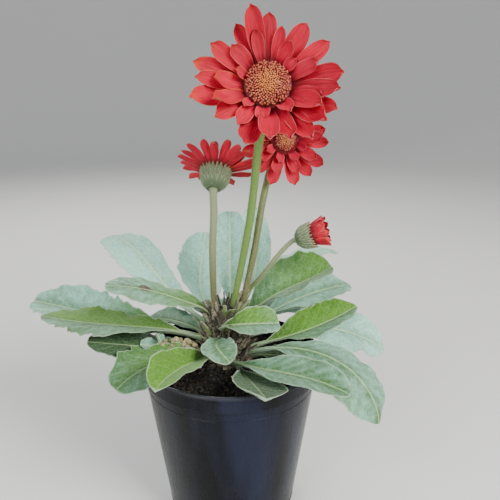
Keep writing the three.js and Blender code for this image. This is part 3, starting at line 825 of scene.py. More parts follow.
def leaf_finishes(leaf):
    """The finishes of a leaf's upper and lower sides."""
    made = []
    for name, above in (("leaf_upper", True), ("leaf_under", False)):
        f = Finish(name, 0.7, Sheen_Weight=0.12, Sheen_Roughness=0.5, Sheen_Tint=(0.85, 0.95, 0.85))
        f.lets_light_in(0.12, (0.5, 1.0, 0.25), 0.0012)
        midrib, veins, net, relief, bent = leaf_vein_patterns(f)
        patches = f.noise(42, 3)
        mottle = f.noise(260, 4)
        pebbles = f.span(f.cells(620, "F1", bent), 0.15, 0.6)
        if above:
            thick = f.plus(f.mark("wax"), f.swing(patches, 0.7))
            worn = f.plus(thick, f.swing(mottle, 0.6))
            between = f.math("SUBTRACT", f.math("PINGPONG", f.mark("vein"), 0.5), 0.3)
            worn = f.plus(worn, f.times(between, -0.22))
            worn = f.plus(worn, f.times(f.span(f.mark("rib"), 8.0, 0.0), -0.22))
            base = f.mix(f.span(worn, 0.0, 1.15), leaf.upper, leaf.bloom)
            # painted light: yellow-green where light shows through the blade, dimmer towards its root
            lit = f.plus(f.mark("lit"), f.swing(patches, 0.6))
            yellow = f.mix(mottle, leaf.lit, dimmed(leaf.lit, 1.5))
            yellow = f.mix(f.span(f.mark("along"), 0.6, 0.15), yellow, dimmed(leaf.lit, 0.55))
            base = f.mix(f.span(lit, 0.05, 0.95), base, yellow)
            # painted shade: leaves lying in shadow are darkened towards deep green
            base = f.mix(f.mark("shade"), base, leaf.shade)
            withered = f.plus(f.mark("spot"), f.times(f.noise(700, 2), 2.4))
            base = f.mix(f.span(withered, 6.2, 4.9), base, (0.050, 0.022, 0.012))
        else:
            base = f.mix(mottle, leaf.under, dimmed(leaf.under, 0.7))
        base = f.mix(f.times(pebbles, 0.24), base, (0.02, 0.06, 0.02))
        base = f.mix(f.times(net, 0.10), base, leaf.vein)
        base = f.mix(f.times(veins, 0.08), base, leaf.vein)
        shown = f.plus(0.22, f.times(f.mark("wax"), 0.55))
        base = f.mix(f.times(midrib, shown), base, leaf.vein)
        margin = f.span(f.plus(f.mark("edge"), mottle), 1.7, 0.6)
        base = f.mix(f.times(margin, 0.6), base, leaf.wool)
        root = f.times(f.span(f.mark("along"), 0.1, 0.01), 0.4)
        base = f.mix(root, base, (0.12, 0.045, 0.02))
        height = f.plus(f.times(relief, 0.9), f.times(mottle, 0.35))
        height = f.math("SUBTRACT" if above else "ADD", height, f.times(veins, 0.25))
        made.append(f.finish(base, height, 0.0011, 0.55))
    return made


def petal_finishes(bloom):
    """The finishes of a petal's face and back."""
    made = []
    for name, face in (("petal_face", True), ("petal_back", False)):
        f = Finish(name, 0.55, Specular_IOR_Level=0.3, Sheen_Weight=0.1, Sheen_Tint=(1.0, 0.35, 0.4))
        f.lets_light_in(0.08, (1.0, 0.12, 0.08), 0.0015)
        along, across, tone = f.mark("along"), f.mark("across"), f.mark("tone")
        lines = f.node("CombineXYZ", {0: f.times(across, 9.0), 1: along, 2: tone}).outputs[0]
        veins = f.noise(2.6, 2, 0.5, vector=lines)
        patches = f.noise(70, 2)
        if face:
            base = f.mix(f.span(veins, 0.3, 0.7), dimmed(bloom.red, 1.15), dimmed(bloom.red, 0.6))
            base = f.mix(f.times(f.mark("rosy"), f.span(patches, 0.3, 0.6)), base, bloom.pink)
            place = f.node("CombineXYZ", {2: f.times(tone, 5.0)}).outputs[0]
            own = f.noise(2.0, 0, vector=place)
            base = f.mix(f.times(f.span(own, 0.4, 0.65), 0.3), base, bloom.deep_red_and_root_shade)
            # painted shade: darker towards each petal's root, where the petals overlap round the disc
            base = f.mix(f.times(f.span(along, 0.42, 0.05), 0.9), base, bloom.deep_red_and_root_shade)
        else:
            base = f.mix(f.span(veins, 0.35, 0.5), dimmed(bloom.back, 0.6), bloom.back)
            base = f.mix(f.times(f.span(veins, 0.36, 0.62), f.mark("pale")), base, bloom.streak)
        rim = f.times(f.span(f.plus(f.mark("edge"), patches), 0.95, 0.45), 0.5)
        base = f.mix(f.times(rim, f.span(along, 0.1, 0.5)), base, bloom.streak)
        # painted backlight: a warm glow along the edge and tip, as strong as the petal's glow mark
        glow = f.math("MAXIMUM", f.span(f.mark("edge"), 0.9, 0.1), f.span(along, 0.78, 1.0))
        base = f.mix(f.times(glow, f.mark("glow")), base, bloom.painted_backlight)
        height = f.plus(veins, f.times(f.noise(900, 2), 0.3))
        made.append(f.finish(base, height, 0.0006, 0.7))
    return made


def stem_finish(name, foot, head, stem):
    f = Finish(name, 0.5, Sheen_Weight=0.2, Sheen_Tint=(0.9, 1.0, 0.8))
    f.lets_light_in(0.1, (0.5, 1.0, 0.25), 0.0015)
    streaks = f.noise(1, 3, vector=f.stretched((1500, 1500, 60)))
    along = f.plus(f.mark("along"), f.swing(f.noise(30), 0.3))
    base = f.mix(f.span(along, 0.15, 0.85), foot, head)
    base = f.mix(f.times(f.span(streaks, 0.45, 0.75), 0.45), base, stem.pale)
    base = f.mix(f.times(f.span(f.noise(1400, 2), 0.58, 0.75), 0.4), base, stem.brown)
    return f.finish(base, streaks, 0.0006, 0.5)


def scale_finish(bloom):
    f = Finish("green_scales", 0.7, Sheen_Weight=0.3, Sheen_Tint=(0.9, 1.0, 0.85))
    mottle = f.noise(700, 3)
    base = f.mix(f.span(f.mark("along"), 0.0, 0.75), dimmed(bloom.scale, 0.42), bloom.scale)
    base = f.mix(f.times(f.span(f.mark("edge"), 0.5, 0.05), 0.5), base, (0.50, 0.56, 0.38))
    base = f.mix(f.times(f.span(f.mark("along"), 0.78, 1.0), 0.7), base, (0.40, 0.15, 0.08))
    base = f.mix(f.times(mottle, 0.35), base, (0.12, 0.16, 0.06))
    return f.finish(base, mottle, 0.0005, 0.5)


def floret_finish(bloom):
    f = Finish("florets", 0.55)
    ring, tip = f.mark("ring"), f.mark("tip")
    body = f.mix(f.span(ring, 0.25, 0.75), bloom.heart, bloom.floret)
    tips = f.times(f.span(tip, 0.75, 1.0), f.span(f.mark("tone"), -0.2, 1.1))
    base = f.mix(f.times(tips, 0.85), body, bloom.pollen)
    base = f.mix(f.span(tip, 0.35, 0.0), base, (0.10, 0.018, 0.012))
    return f.finish(base, f.noise(2200, 2), 0.0003, 0.4)


def floor_finish(stage):
    f = Finish("pale_floor", 0.85)
    base = f.mix(f.noise(3, 2), stage.ground, dimmed(stage.ground, 0.985))
    return f.finish(base)


# ---- pot, compost and crown ----


def pot_shell(pot):
    """The pot, its rim rolled and its foot notched for the water."""
    high, rim, shoulder, base, wall = (
        v / MM for v in (pot.height, pot.rim, pot.shoulder, pot.base, pot.wall)
    )
    under = high - pot.collar / MM
    step = pot.step / MM

    def at(z):
        return lerp(base, shoulder, z / under)

    foot = [
        (0, 0), (base - 14, 0), (base - 13, 0.7), (base - 11, 0.7), (base - 10, 0), (base - 1.0, 0),
    ]
    wall_and_rings = [
        (at(1.0), 1.0), (at(6), 6), (at(6.4) + 0.25, 6.4), (at(7.2) + 0.25, 7.2), (at(7.6), 7.6),
        (at(under - 9), under - 9), (at(under - 8.7) + 0.2, under - 8.7), (at(under - 8) + 0.2, under - 8),
        (at(under - 7.7), under - 7.7), (shoulder, under - 0.3),
    ]
    collar = [
        (shoulder + step - 0.5, under), (shoulder + step, under + 0.5), (rim - 0.55, high - 3.4),
    ]
    rolled_rim = [
        (rim - 0.1, high - 2.9), (rim, high - 2.2), (rim - 0.05, high - 1.2), (rim - 0.45, high - 0.4),
        (rim - 1.1, high), (rim - 2.0, high), (rim - 2.6, high - 0.4), (rim - 2.8, high - 1.2),
    ]
    inside = [
        (rim - 3.4, under + 2), (at(under - 1) - wall, under - 1),
        (at(POT_FLOOR) - wall, POT_FLOOR), (0, POT_FLOOR),
    ]
    shell = turned("pot_shell", [*foot, *wall_and_rings, *collar, *rolled_rim, *inside], 128)
    for k in range(NOTCHES):
        angle = math.tau * (k + 0.5) / NOTCHES
        middle = Vector((math.cos(angle), math.sin(angle), 0)) * pot.base
        bpy.ops.mesh.primitive_cube_add(size=1, location=middle, rotation=(0, 0, angle))
        notch = bpy.context.object
        notch.scale = NOTCH_SIZE
        bpy.ops.object.transform_apply(location=True, rotation=True, scale=True)
        apply(notch, "BEVEL", width=0.0012, segments=3)
        apply(shell, "BOOLEAN", operation="DIFFERENCE", object=notch, solver="EXACT")
        bpy.data.objects.remove(notch)
    soften(shell, 28)
    return shell


def compost_height(compost, x, y):
    """The height of the compost's surface, in millimetres: lumpy, and heaped up round the crown."""
    reach = np.hypot(x - CROWN[0], y - CROWN[1])
    spots = np.stack([x, y, np.zeros_like(x)], axis=-1).reshape(-1, 3)
    lumps = (rough(spots, 0.09) + 0.6 * rough(spots, 0.26, 5)).reshape(np.shape(x))
    return compost.level / MM + lumps * compost.lumps / MM * 0.8 + 2.6 * ridge(reach, 20)


def compost_bed(compost, pot):
    level = compost.level / MM
    foot = 3.4

    def at(z):
        outside = lerp(pot.base, pot.shoulder, z * MM / (pot.height - pot.collar)) / MM
        return outside - pot.wall / MM - CLEARANCE

    rings = [(r, level) for r in np.arange(58.2, 0.5, -1.3)]
    profile = [(0, foot), (at(foot), foot), (at(level - 3), level - 3), *rings, (0, level)]
    bed = turned("compost_bed", profile, 132)

    def heave(points, normals):
        top = points[:, 2] > level - 0.5
        x, y = points[:, 0], points[:, 1]
        fine = rough(points, 0.8, 9) * 0.7
        return np.where(top[:, None], np.stack([x, y, compost_height(compost, x, y) + fine], 1), points)

    displaced(bed, heave)
    soften(bed, 60)
    return bed


def knobbly(level):
    """The cast of a crumb, about 1 in radius."""
    bpy.ops.mesh.primitive_ico_sphere_add(subdivisions=level, radius=1)
    crumb = bpy.context.object
    displaced(crumb, lambda points, normals: points * (1 + 0.28 * rough(points * MM, 1.7, 3))[:, None])
    return Cast(crumb)


def tumbled(cast, draw, size, least, most):
    """A copy of the cast for each size, its sides from least to most of it, turned at random."""
    shape = draw.uniform(least, most, (len(size), 1, 3)) * size[:, None, None]
    return np.einsum("nij,npj->npi", turns(draw, len(size)), cast.points[None] * shape)


def strewn(compost, draw, count):
    """Random spots on the compost, none of them under the crown."""
    angle = draw.uniform(0, math.tau, count)
    r = np.sqrt(draw.uniform(0.0, 1.0, count)) * STREWN_REACH
    x, y = r * np.cos(angle), r * np.sin(angle)
    away = np.hypot((x - CROWN[0] - CROWN_SHIFT) / CROWN_STRETCH, y - CROWN[1]) > 12
    x, y = x[away], y[away]
    return np.stack([x, y, compost_height(compost, x, y)], axis=1)


def compost_crumbs(compost, draw):
    spots = strewn(compost, draw, compost.crumbs)
    count = len(spots)
    size = 0.35 + 1.35 * draw.uniform(0, 1, count) ** 3
    cast = knobbly(1)
    places = tumbled(cast, draw, size, 0.65, 1.3) + (spots + upward(size * 0.35))[:, None]
    tone = cast.each(draw.uniform(0, 1, count) ** 1.6)
    return cast.gather("compost_crumbs", places, {"tone": tone}, 40)


def crown_radius(height):
    heights, radii = np.array(CROWN_RADII, float).T
    return np.interp(height, heights, radii)


def on_crown(out, height, angle):
    """Points at radius out round the crown, which is wider from side to side."""
    spot = np.stack([CROWN_STRETCH * out * np.cos(angle), out * np.sin(angle), height], -1)
    return spot + CROWN + [CROWN_SHIFT, 0, 0]


def crown_core():
    profile = [(0, 98.0), *[(r, z) for z, r in CROWN_RADII], (0, 154.0)]
    core = turned("crown_core", profile, 40)
    edit(core)
    bpy.ops.mesh.subdivide(number_cuts=2)
    done()

    def gnarl(points, normals):
        bumps = 1.1 * rough(points, 0.2) + 0.7 * rough(points, 0.6, 4) - 0.5
        points = points + normals * bumps[:, None]
        return points * [CROWN_STRETCH, 1, 1] + CROWN + [CROWN_SHIFT, 0, 0]

    displaced(core, gnarl)
    soften(core, 60)
    return core


def crown_scales(name, draw, count, low, high, wide, tall, lean):
    """Short blades that stand off the crown: the stubs of old leaf stalks, or young shoots. count of them
    are rooted from low to high; wide, tall and lean are the least and most of each."""
    sheet = Sheet(8, 6)
    u, t, side = sheet.across, sheet.along, sheet.side
    places, tones = [], []
    for k in range(count):
        z = draw.uniform(low, high)
        angle = 2.4 * k + draw.uniform(-0.2, 0.2)
        half = draw.uniform(*wide) * (1 - 0.55 * t) * (0.75 + 0.25 * np.cos(4 * t))
        height = z + draw.uniform(*tall) * t
        off = draw.uniform(*lean) * t**1.6
        out = crown_radius(z) + 0.3 + off + (side - 0.5) * 0.8 + 0.4 * (1 - u * u)
        turn = angle - u * half / np.maximum(crown_radius(z), 4)
        places.append(on_crown(out, height, turn))
        tones.append(np.full(len(u), draw.uniform(0, 1)))
    marks = {"tone": np.array(tones), "along": np.tile(t, (count, 1))}
    return sheet.gather(name, np.array(places), marks)


def crown_litter(crown, draw):
    """Dry bits of many sizes lodged all over the crown, thickest on its left."""
    count = crown.litter
    z = draw.uniform(108, 150, count)
    angle = draw.normal(math.pi * 1.25, 1.6, count)
    size = 0.5 + 1.5 * draw.uniform(0, 1, count) ** 2.5
    spots = on_crown(crown_radius(z) + draw.uniform(-0.2, 1.6, count), z, angle)
    cast = knobbly(1)
    places = tumbled(cast, draw, size, 0.45, 1.5) + spots[:, None]
    tone = cast.each(draw.uniform(0, 1, count) ** 1.4)
    return cast.gather("crown_litter", places, {"tone": tone}, 40)


def crown_wool(crown, draw):
    count = crown.hairs
    z = draw.uniform(109, 152, count)
    angle = draw.uniform(0, math.tau, count)
    out = outward(angle)
    roots = on_crown(crown_radius(z), z, angle)
    ways = unit(out + draw.normal(0, 0.6, (count, 3)) + [0, 0, 0.25])
    return roots, ways * (draw.uniform(0.3, 1, count) * crown.hair / MM)[:, None]


# ---- leaves ----


def sawtooth(x):
    """Rises from 0 at each whole x to a point just before the next, and drops back."""
    x = x % 1
    return np.where(x < 0.8, (x / 0.8) ** 1.6, (1 - x) / 0.2)


class Leaf:
    """One leaf's surface. t runs from 0 at its root to 1 at its tip, and u across it from -1 to 1."""

    steps = 400
    waves = 2.6
    ruffles = 6.5
    side_veins = 10.5
    usual_widest = 0.66
    usual_teeth = (1.5, 9)
    widening = 0.65  # below 1 the blade widens sooner
    root_fold = 52  # how steeply both halves of the stalk stand up, in degrees
    root_width, tip_width = 3.8, 2.4  # the least width of a leaf at its root and near its tip
    stalk_depth = 3
    cupping = 2.2  # above 1 a cupped leaf's halves curve up late

    def __init__(self, name):
        self.name = name
        self.widest = LEAF_WIDEST.get(name, self.usual_widest)
        for column, value in zip(LEAF_COLUMNS, ALL_LEAVES[name]):
            setattr(self, column, value)
        self.draw = np.random.default_rng([SEED, [*sorted(LEAVES), *YOUNG_LEAVES].index(name)])
        self.phases = self.draw.uniform(0, math.tau, 8)
        middles = (np.arange(self.steps) + 0.5) / self.steps
        start = math.radians(self.az + self.side)
        root = CROWN + [self.out * math.cos(start), self.out * math.sin(start), self.root]
        run = np.cumsum(self.heading(middles), axis=0) * self.length / self.steps
        self.run = np.concatenate([[root], root + run])

    def azimuth(self, t):
        return np.radians(self.az + self.sweep * t)

    def heading(self, t):
        slope = np.radians(lerp(self.rise, self.fall, t) + self.arch * np.sin(math.pi * t))
        azimuth = self.azimuth(t)
        return np.stack([np.cos(slope) * np.cos(azimuth), np.cos(slope) * np.sin(azimuth), np.sin(slope)], -1)

    def middle(self, t):
        grid = np.linspace(0, 1, self.steps + 1)
        return np.stack([np.interp(t, grid, self.run[:, k]) for k in range(3)], -1)

    def frames(self, t):
        """The directions across the leaf and up out of it."""
        along, azimuth = self.heading(t), self.azimuth(t)
        level = np.stack([-np.sin(azimuth), np.cos(azimuth), np.zeros_like(azimuth)], -1)
        roll = math.radians(self.roll)
        across = level * math.cos(roll) + np.cross(along, level) * math.sin(roll)
        return across, np.cross(along, across)

    def half_width(self, t, u, teeth):
        past = np.maximum(0, t - self.widest) / (1 - self.widest)
        wide = smooth((t - self.stalk) / (self.widest - self.stalk)) ** self.widening
        half = self.half * wide * np.maximum(0, 1 - past**2.2) ** self.point
        depth, count = LEAF_TEETH.get(self.name, self.usual_teeth)
        shift = np.where(u > 0, *self.phases[:2])
        run = count * t + shift + 0.35 * np.sin(math.tau * 2.3 * t + 2 * shift)
        tooth = 0.7 * sawtooth(run) + 0.3 * sawtooth(2.3 * run + shift) - 0.45
        teeth = teeth * depth * (1 + 0.5 * np.sin(math.tau * 1.7 * t + 3 * shift))
        least = lerp(self.root_width, self.tip_width, t) / 2 * lerp(1, 0.3, smooth((t - 0.85) / 0.15))
        return np.maximum(least, half * (1 + teeth * tooth * smooth((t - self.stalk) / 0.2)))

    def vein(self, t, u):
        """Counts up along the side veins, which run forward from the midrib to the edge."""
        return self.side_veins * (t - 0.2 * np.abs(u) ** 0.85)

    def surface(self, u, t, side, leaf):
        """Points of the leaf, in millimetres, and the marks that its finishes read."""
        across, up = self.frames(t)
        half = self.half_width(t, u, leaf.teeth)
        blade = smooth((t - self.stalk) / 0.3)
        shift = np.where(u > 0, 0, 1.9)
        fold = np.radians(lerp(self.root_fold, self.fold, smooth(t / 0.5)))
        lift = np.abs(u) ** (self.cupping if self.name in CUPPED_LEAVES else 1) * half * np.sin(fold)
        lift += self.wave * u * u * np.sin(math.tau * self.waves * t + shift) * blade
        ruffle = np.sin(math.tau * self.ruffles * t + np.where(u > 0, self.phases[2], self.phases[3]))
        lift += 0.5 * self.wave * np.abs(u) ** 3 * ruffle * blade
        swell = np.sin(math.tau * 3.1 * t + self.phases[4]) * np.sin(3 * u + self.phases[5])
        lift += 0.5 * swell * np.abs(u) * blade
        rib = np.abs(u) * half
        groove = ridge((self.vein(t, u) + 0.5) % 1 - 0.5, 0.13) * smooth((half - rib) / 3)
        lift -= leaf.quilt / MM * groove * blade * smooth(rib / 1.5)
        lift -= 0.45 * ridge(rib, 1.1) * blade
        depth = lerp(leaf.midrib / MM, leaf.blade / MM, smooth(rib / (0.35 * self.half)))
        depth = depth * smooth((half - rib) / 1.2 + 0.45)
        stalk = 1 - smooth((t - self.stalk / 2) / self.stalk)
        depth = lerp(depth, self.stalk_depth * (1 - 0.4 * np.abs(u)), stalk)
        lift = lift - (1 - side) * depth
        points = self.middle(t) + across * (u * half * np.cos(fold))[:, None] + up * lift[:, None]
        edge = np.minimum(half - rib, (1 - t) * self.length)
        left_root, left_tip, right_root, right_tip, shade, wax = LEAF_LOOKS[self.name]
        left, right = lerp(left_root, left_tip, t), lerp(right_root, right_tip, t)
        lit = lerp(right, left, smooth(u * 2.5 + 0.5))
        marks = {"along": t, "rib": rib, "edge": edge, "vein": self.vein(t, u), "lit": lit}
        marks["shade"], marks["wax"] = np.full_like(t, shade), np.full_like(t, wax)
        spot_t, spot_u = LEAF_SPOTS.get(self.name, (9, 0))
        marks["spot"] = np.hypot((t - spot_t) * self.length, u * half - spot_u)
        return points, marks

    def fuzz(self, leaf):
        """Roots and ways of the short hairs along both edges."""
        count = int(leaf.fuzz * self.length / 10) * 2
        t = self.draw.uniform(0.04, 1, count)
        u = self.draw.choice([-1.0, 1.0], count)
        points, _ = self.surface(u, t, np.full(count, 0.5), leaf)
        across, up = self.frames(t)
        ways = unit(across * u[:, None] + self.draw.normal(0, 0.5, (count, 3)))
        return points, ways * self.draw.uniform(0.35, 1.0, count)[:, None]


def leaf_blade(leaf, sheet, settings):
    # rows gather towards the tip, where the outline turns, and columns towards the midrib
    t = np.sin(sheet.along * math.pi / 2) * 0.45 + sheet.along * 0.55
    u = np.sign(sheet.across) * np.abs(sheet.across) ** 1.15
    points, marks = leaf.surface(u, t, sheet.side, settings)
    return sheet.gather(f"leaf_{leaf.name}_blade", points[None], marks)


# ---- stems ----


def bloom_matrix(bloom):
    """Turns the bloom's own frame, whose +Z is the way it faces, into the plant's, in millimetres."""
    turn = Matrix.Rotation(math.radians(bloom["turn"]), 4, "Z")
    tip = Matrix.Rotation(math.radians(90 - bloom["tilt"]), 4, "X")
    return np.array(Matrix.Translation(bloom["at"]) @ turn @ tip)


def placed(bloom, points):
    matrix = bloom_matrix(bloom)
    return points @ matrix[:3, :3].T + matrix[:3, 3]


def put_in_bloom(obj, bloom):
    """Moves a piece that was turned round +Z into its bloom's place."""
    displaced(obj, lambda points, normals: placed(bloom, points))
    soften(obj)
    return obj


def stem_path(name, count):
    bloom = BLOOMS[name]
    foot = -bloom["cup_depth"] - CLEARANCE
    behind = placed(bloom, np.array([[0, 0, foot - 2.0], [0, 0, foot + 0.6]]))
    return through([*STEMS[name]["through"], *behind.tolist()], count)


def stem_stalk(name):
    """A stem as a bevelled curve, a little stouter higher up and under its bloom, made a mesh."""
    path = stem_path(name, 90)
    bpy.ops.curve.primitive_bezier_curve_add()
    obj = bpy.context.object
    curve = obj.data
    curve.splines.clear()
    spline = curve.splines.new("POLY")
    spline.points.add(len(path) - 1)
    s = np.linspace(0, 1, len(path))
    stout = lerp(0.84, 1.06, smooth(s / 0.45)) + 0.2 * smooth((s - 0.95) / 0.05)
    stout += 0.025 * np.sin(s * 40)
    for point, place, radius in zip(spline.points, path, stout):
        point.co = (*(place * MM), 1)
        point.radius = radius
    curve.bevel_depth = STEMS[name]["radius"] * MM
    curve.bevel_resolution = 5
    curve.use_fill_caps = True
    pick(obj)
    bpy.ops.object.convert(target="MESH")
    stalk = bpy.context.object
    edit(stalk)
    closed()
    points = read(stalk.data.vertices, "co", 3) / MM
    nearest = np.argmin(np.linalg.norm(points[:, None] - path[None], axis=2), axis=1)
    mark(stalk.data, "along", s[nearest])
    soften(stalk, 50)
    return stalk


def stem_fuzz(name, stem, draw):
    path = stem_path(name, 300)
    run = np.linalg.norm(np.diff(path, axis=0), axis=1).sum()
    count = int(stem.fuzz * run / 10)
    k = draw.integers(1, len(path) - 1, count)
    tangent = unit(path[k + 1] - path[k - 1])
    first, second = around(tangent)
    angle = draw.uniform(0, math.tau, count)[:, None]
    out = first * np.cos(angle) + second * np.sin(angle)
    roots = path[k] + out * STEMS[name]["radius"] * 0.97
    ways = unit(out + draw.normal(0, 0.25, (count, 3)))
    return roots, ways * (draw.uniform(0.3, 1, count) * stem.hair / MM)[:, None]


# ---- blooms ----


def repeatable(i, k):
    """The number from -1 to 1 that draw k of item i gives."""
    s = math.sin(i * 12.9898 + k * 78.233) * 43758.5453
    return 2 * (s - math.floor(s)) - 1


def petal_rows(layer, depth):
    """A layer's petals as a list of [angle, length, half width]."""
    if "petals" in layer:
        return layer["petals"]
    return [
        [
            layer["start"] + 360 * k / layer["count"] + 4 * repeatable(k, depth),
            layer["length"] * (1 + 0.07 * repeatable(k, depth + 5)),
            layer["half"],
        ]
        for k in range(layer["count"])
    ]


def petal_points(sheet, layer, row, root, up, lean, bloom, draw):
    """One petal in its bloom's frame, and its marks."""
    angle, reach, half = row
    u, t, side = sheet.across, sheet.along, sheet.side

    def slope(s):
        return np.radians(lerp(layer["rise"], layer["lift"], s) + lean)

    blunt = draw.uniform(2.2, 3.4)
    rounding = np.sqrt(np.maximum(0, 1 - np.maximum(0, (t - 0.6) / 0.405) ** blunt))
    wide = lerp(0.58, 1, smooth(t * 1.7)) * np.maximum(0.16, rounding)
    notch = draw.uniform(0, 0.014) * np.cos(u * math.pi * 3) * smooth((t - 0.88) / 0.12)
    s = t * (1 - 0.03 * u * u * smooth((t - 0.7) / 0.3)) - notch
    furrow = ridge(np.abs(u) - 0.36, 0.17) * smooth(t / 0.25) * (1 - 0.5 * t)
    twist = draw.uniform(-0.28, 0.28) * smooth(t * 1.2) * u
    ripple = draw.uniform(0.03, 0.13) * np.sin(math.tau * 1.4 * t + draw.uniform(0, 6)) * np.abs(u)
    curl = draw.uniform(-0.35, 0.45) * smooth((t - 0.55) / 0.45)
    raised = half * (draw.uniform(0.1, 0.5) * np.abs(u) ** 1.6 * smooth(t * 2) + twist + ripple + curl)
    raised = raised - bloom.furrow / MM * furrow
    depth = bloom.petal / MM * lerp(1, 0.45, np.abs(u) ** 2)
    raised = raised - (1 - side) * depth
    out = root + s * reach * np.cos(slope(t / 2)) - raised * np.sin(slope(t))
    height = up + s * reach * np.sin(slope(t / 2)) + raised * np.cos(slope(t))
    bend = draw.uniform(-0.9, 0.9) * t * t
    flat = u * half * wide + bend
    cos, sin = math.cos(math.radians(angle)), math.sin(math.radians(angle))
    points = np.stack([out * cos - flat * sin, out * sin + flat * cos, height], 1)
    edge = np.minimum(half * wide * (1 - np.abs(u)), (1 - t) * reach)
    return points, {"across": u, "along": t, "edge": edge}


def petal_rays(name, bloom_settings, draw):
    bloom = BLOOMS[name]
    sheet = Sheet(22, 12) if name == "tall" else Sheet(16, 8)
    places, marks = [], []
    for depth, layer in enumerate(bloom["layers"]):
        for k, row in enumerate(petal_rows(layer, depth)):
            lean = -PETAL_STAGGER if k % 2 else PETAL_STAGGER
            root, up = bloom["plate"] - bloom["inset"], 1.4 + 0.6 * depth
            points, shown = petal_points(sheet, layer, row, root, up, lean, bloom_settings, draw)
            # painted backlight: petals that point to the bloom's left glow most at their edges and tips
            left = -math.cos(math.radians(row[0]))
            own = {
                "tone": draw.uniform(0, 9),
                "glow": 0.1 + 0.8 * max(0, left) ** 2 * draw.uniform(0.1, 1),
                "pale": PALE_BACKS.get(name, 0.3),
                "rosy": ROSY_LAYERS[depth] * draw.uniform(0.3, 1.3),
            }
            shown.update({key: np.full_like(sheet.along, value) for key, value in own.items()})
            places.append(placed(bloom, points))
            marks.append(shown)
    merged = {key: np.array([m[key] for m in marks]) for key in marks[0]}
    return sheet.gather(f"petals_{name}_rays", np.array(places), merged)


def bloom_plate(name):
    """The round plate that the petals grow from."""
    bloom = BLOOMS[name]
    r = bloom["plate"]
    profile = [(0, 0), (r - 0.6, 0), (r, 0.6), (r, 3.0), (r - 0.6, PLATE_DEPTH), (0, PLATE_DEPTH)]
    return put_in_bloom(turned("plate", profile, 40), bloom)


def cup_profile(bloom, s):
    """Radius and height of the cup at s, from 0 at the stem to 1 at its rim."""
    r, depth = bloom["cup"], bloom["cup_depth"]
    stations = [0, 0.28, 0.6, 0.84, 1]
    radii = np.interp(s, stations, [0.38 * r, 0.75 * r, 0.94 * r, r, r])
    heights = np.interp(s, stations, [-depth, -0.74 * depth, -0.4 * depth, -0.16 * depth, -CLEARANCE])
    over = np.maximum(0, s - 1)
    return radii + over * r * 0.35, heights + over * depth * 0.9


def cup_core(name):
    bloom = BLOOMS[name]
    s = np.linspace(0, 1, 22)
    radii, heights = cup_profile(bloom, s)
    profile = [(0, heights[0]), *zip(radii * 0.965, heights), (0, heights[-1])]
    return put_in_bloom(turned("core", profile, 48), bloom)


def cup_scales(name, draw):
    """Three rows of narrow green scales, each row longer than the one under it."""
    bloom = BLOOMS[name]
    sheet = Sheet(10, 6)
    u, t, side = sheet.across, sheet.along, sheet.side
    places = []
    for row, (low, high, count) in enumerate([(0.3, 1.2, 24), (0.0, 1.02, 22), (0.0, 0.6, 18)]):
        for k in range(count):
            angle = math.tau * (k + 0.5 * (row % 2)) / count + draw.uniform(-0.04, 0.04)
            s = lerp(low, high + draw.uniform(-0.05, 0.05), t)
            radii, heights = cup_profile(bloom, s)
            wide = math.pi * bloom["cup"] / count * 0.95 * (1 - t**2.6) ** 0.7 + 0.12
            crest = 0.4 * (1 - np.abs(u)) + 0.2 * row + 0.35 * t**3
            out = radii * 0.985 + crest + (side - 1) * 0.45
            turn = angle - u * wide / np.maximum(radii, 0.45 * bloom["cup"])
            places.append(placed(bloom, np.stack([out * np.cos(turn), out * np.sin(turn), heights], 1)))
    places = np.array(places)
    copies = len(places)
    edge = (1 - np.abs(u)) * 1.4 * np.sqrt(np.maximum(0.02, 1 - t**2.2))
    marks = {"along": np.tile(t, (copies, 1)), "edge": np.tile(edge, (copies, 1))}
    return sheet.gather(f"cup_{name}_scales", places, marks)


def cup_fuzz(name, draw, count):
    bloom = BLOOMS[name]
    s = draw.uniform(0, 1.05, count)
    radii, heights = cup_profile(bloom, s)
    angle = draw.uniform(0, math.tau, count)
    out = outward(angle)
    local = out * (radii + 0.4)[:, None] + upward(heights)
    ways = unit(out + draw.normal(0, 0.4, (count, 3))) * draw.uniform(0.4, 1.2, count)[:, None]
    matrix = bloom_matrix(bloom)[:3, :3]
    return placed(bloom, local), ways @ matrix.T


def floret_cast():
    """The cast of a floret, 1 high and 0.5 in radius: a tube that swells and then closes on its tip."""
    bpy.ops.mesh.primitive_circle_add(vertices=6, radius=0.3, fill_type="TRIFAN")
    obj = bpy.context.object
    edit(obj)
    for rise, scale in ((0.45, 1.15), (0.25, 1.4), (0.18, 0.95), (0.12, 0.5)):
        bpy.ops.mesh.extrude_region_move(TRANSFORM_OT_translate={"value": (0, 0, rise)})
        bpy.ops.transform.resize(value=(scale, scale, 1))
    closed(merge=False)
    return Cast(obj)


def dome_height(bloom, r):
    """Height of the disc's dome over the plate at radius r."""
    share_out = r / bloom["disc"]
    return PLATE_DEPTH + CLEARANCE + bloom["disc"] * (0.34 - 0.24 * share_out**3.2)


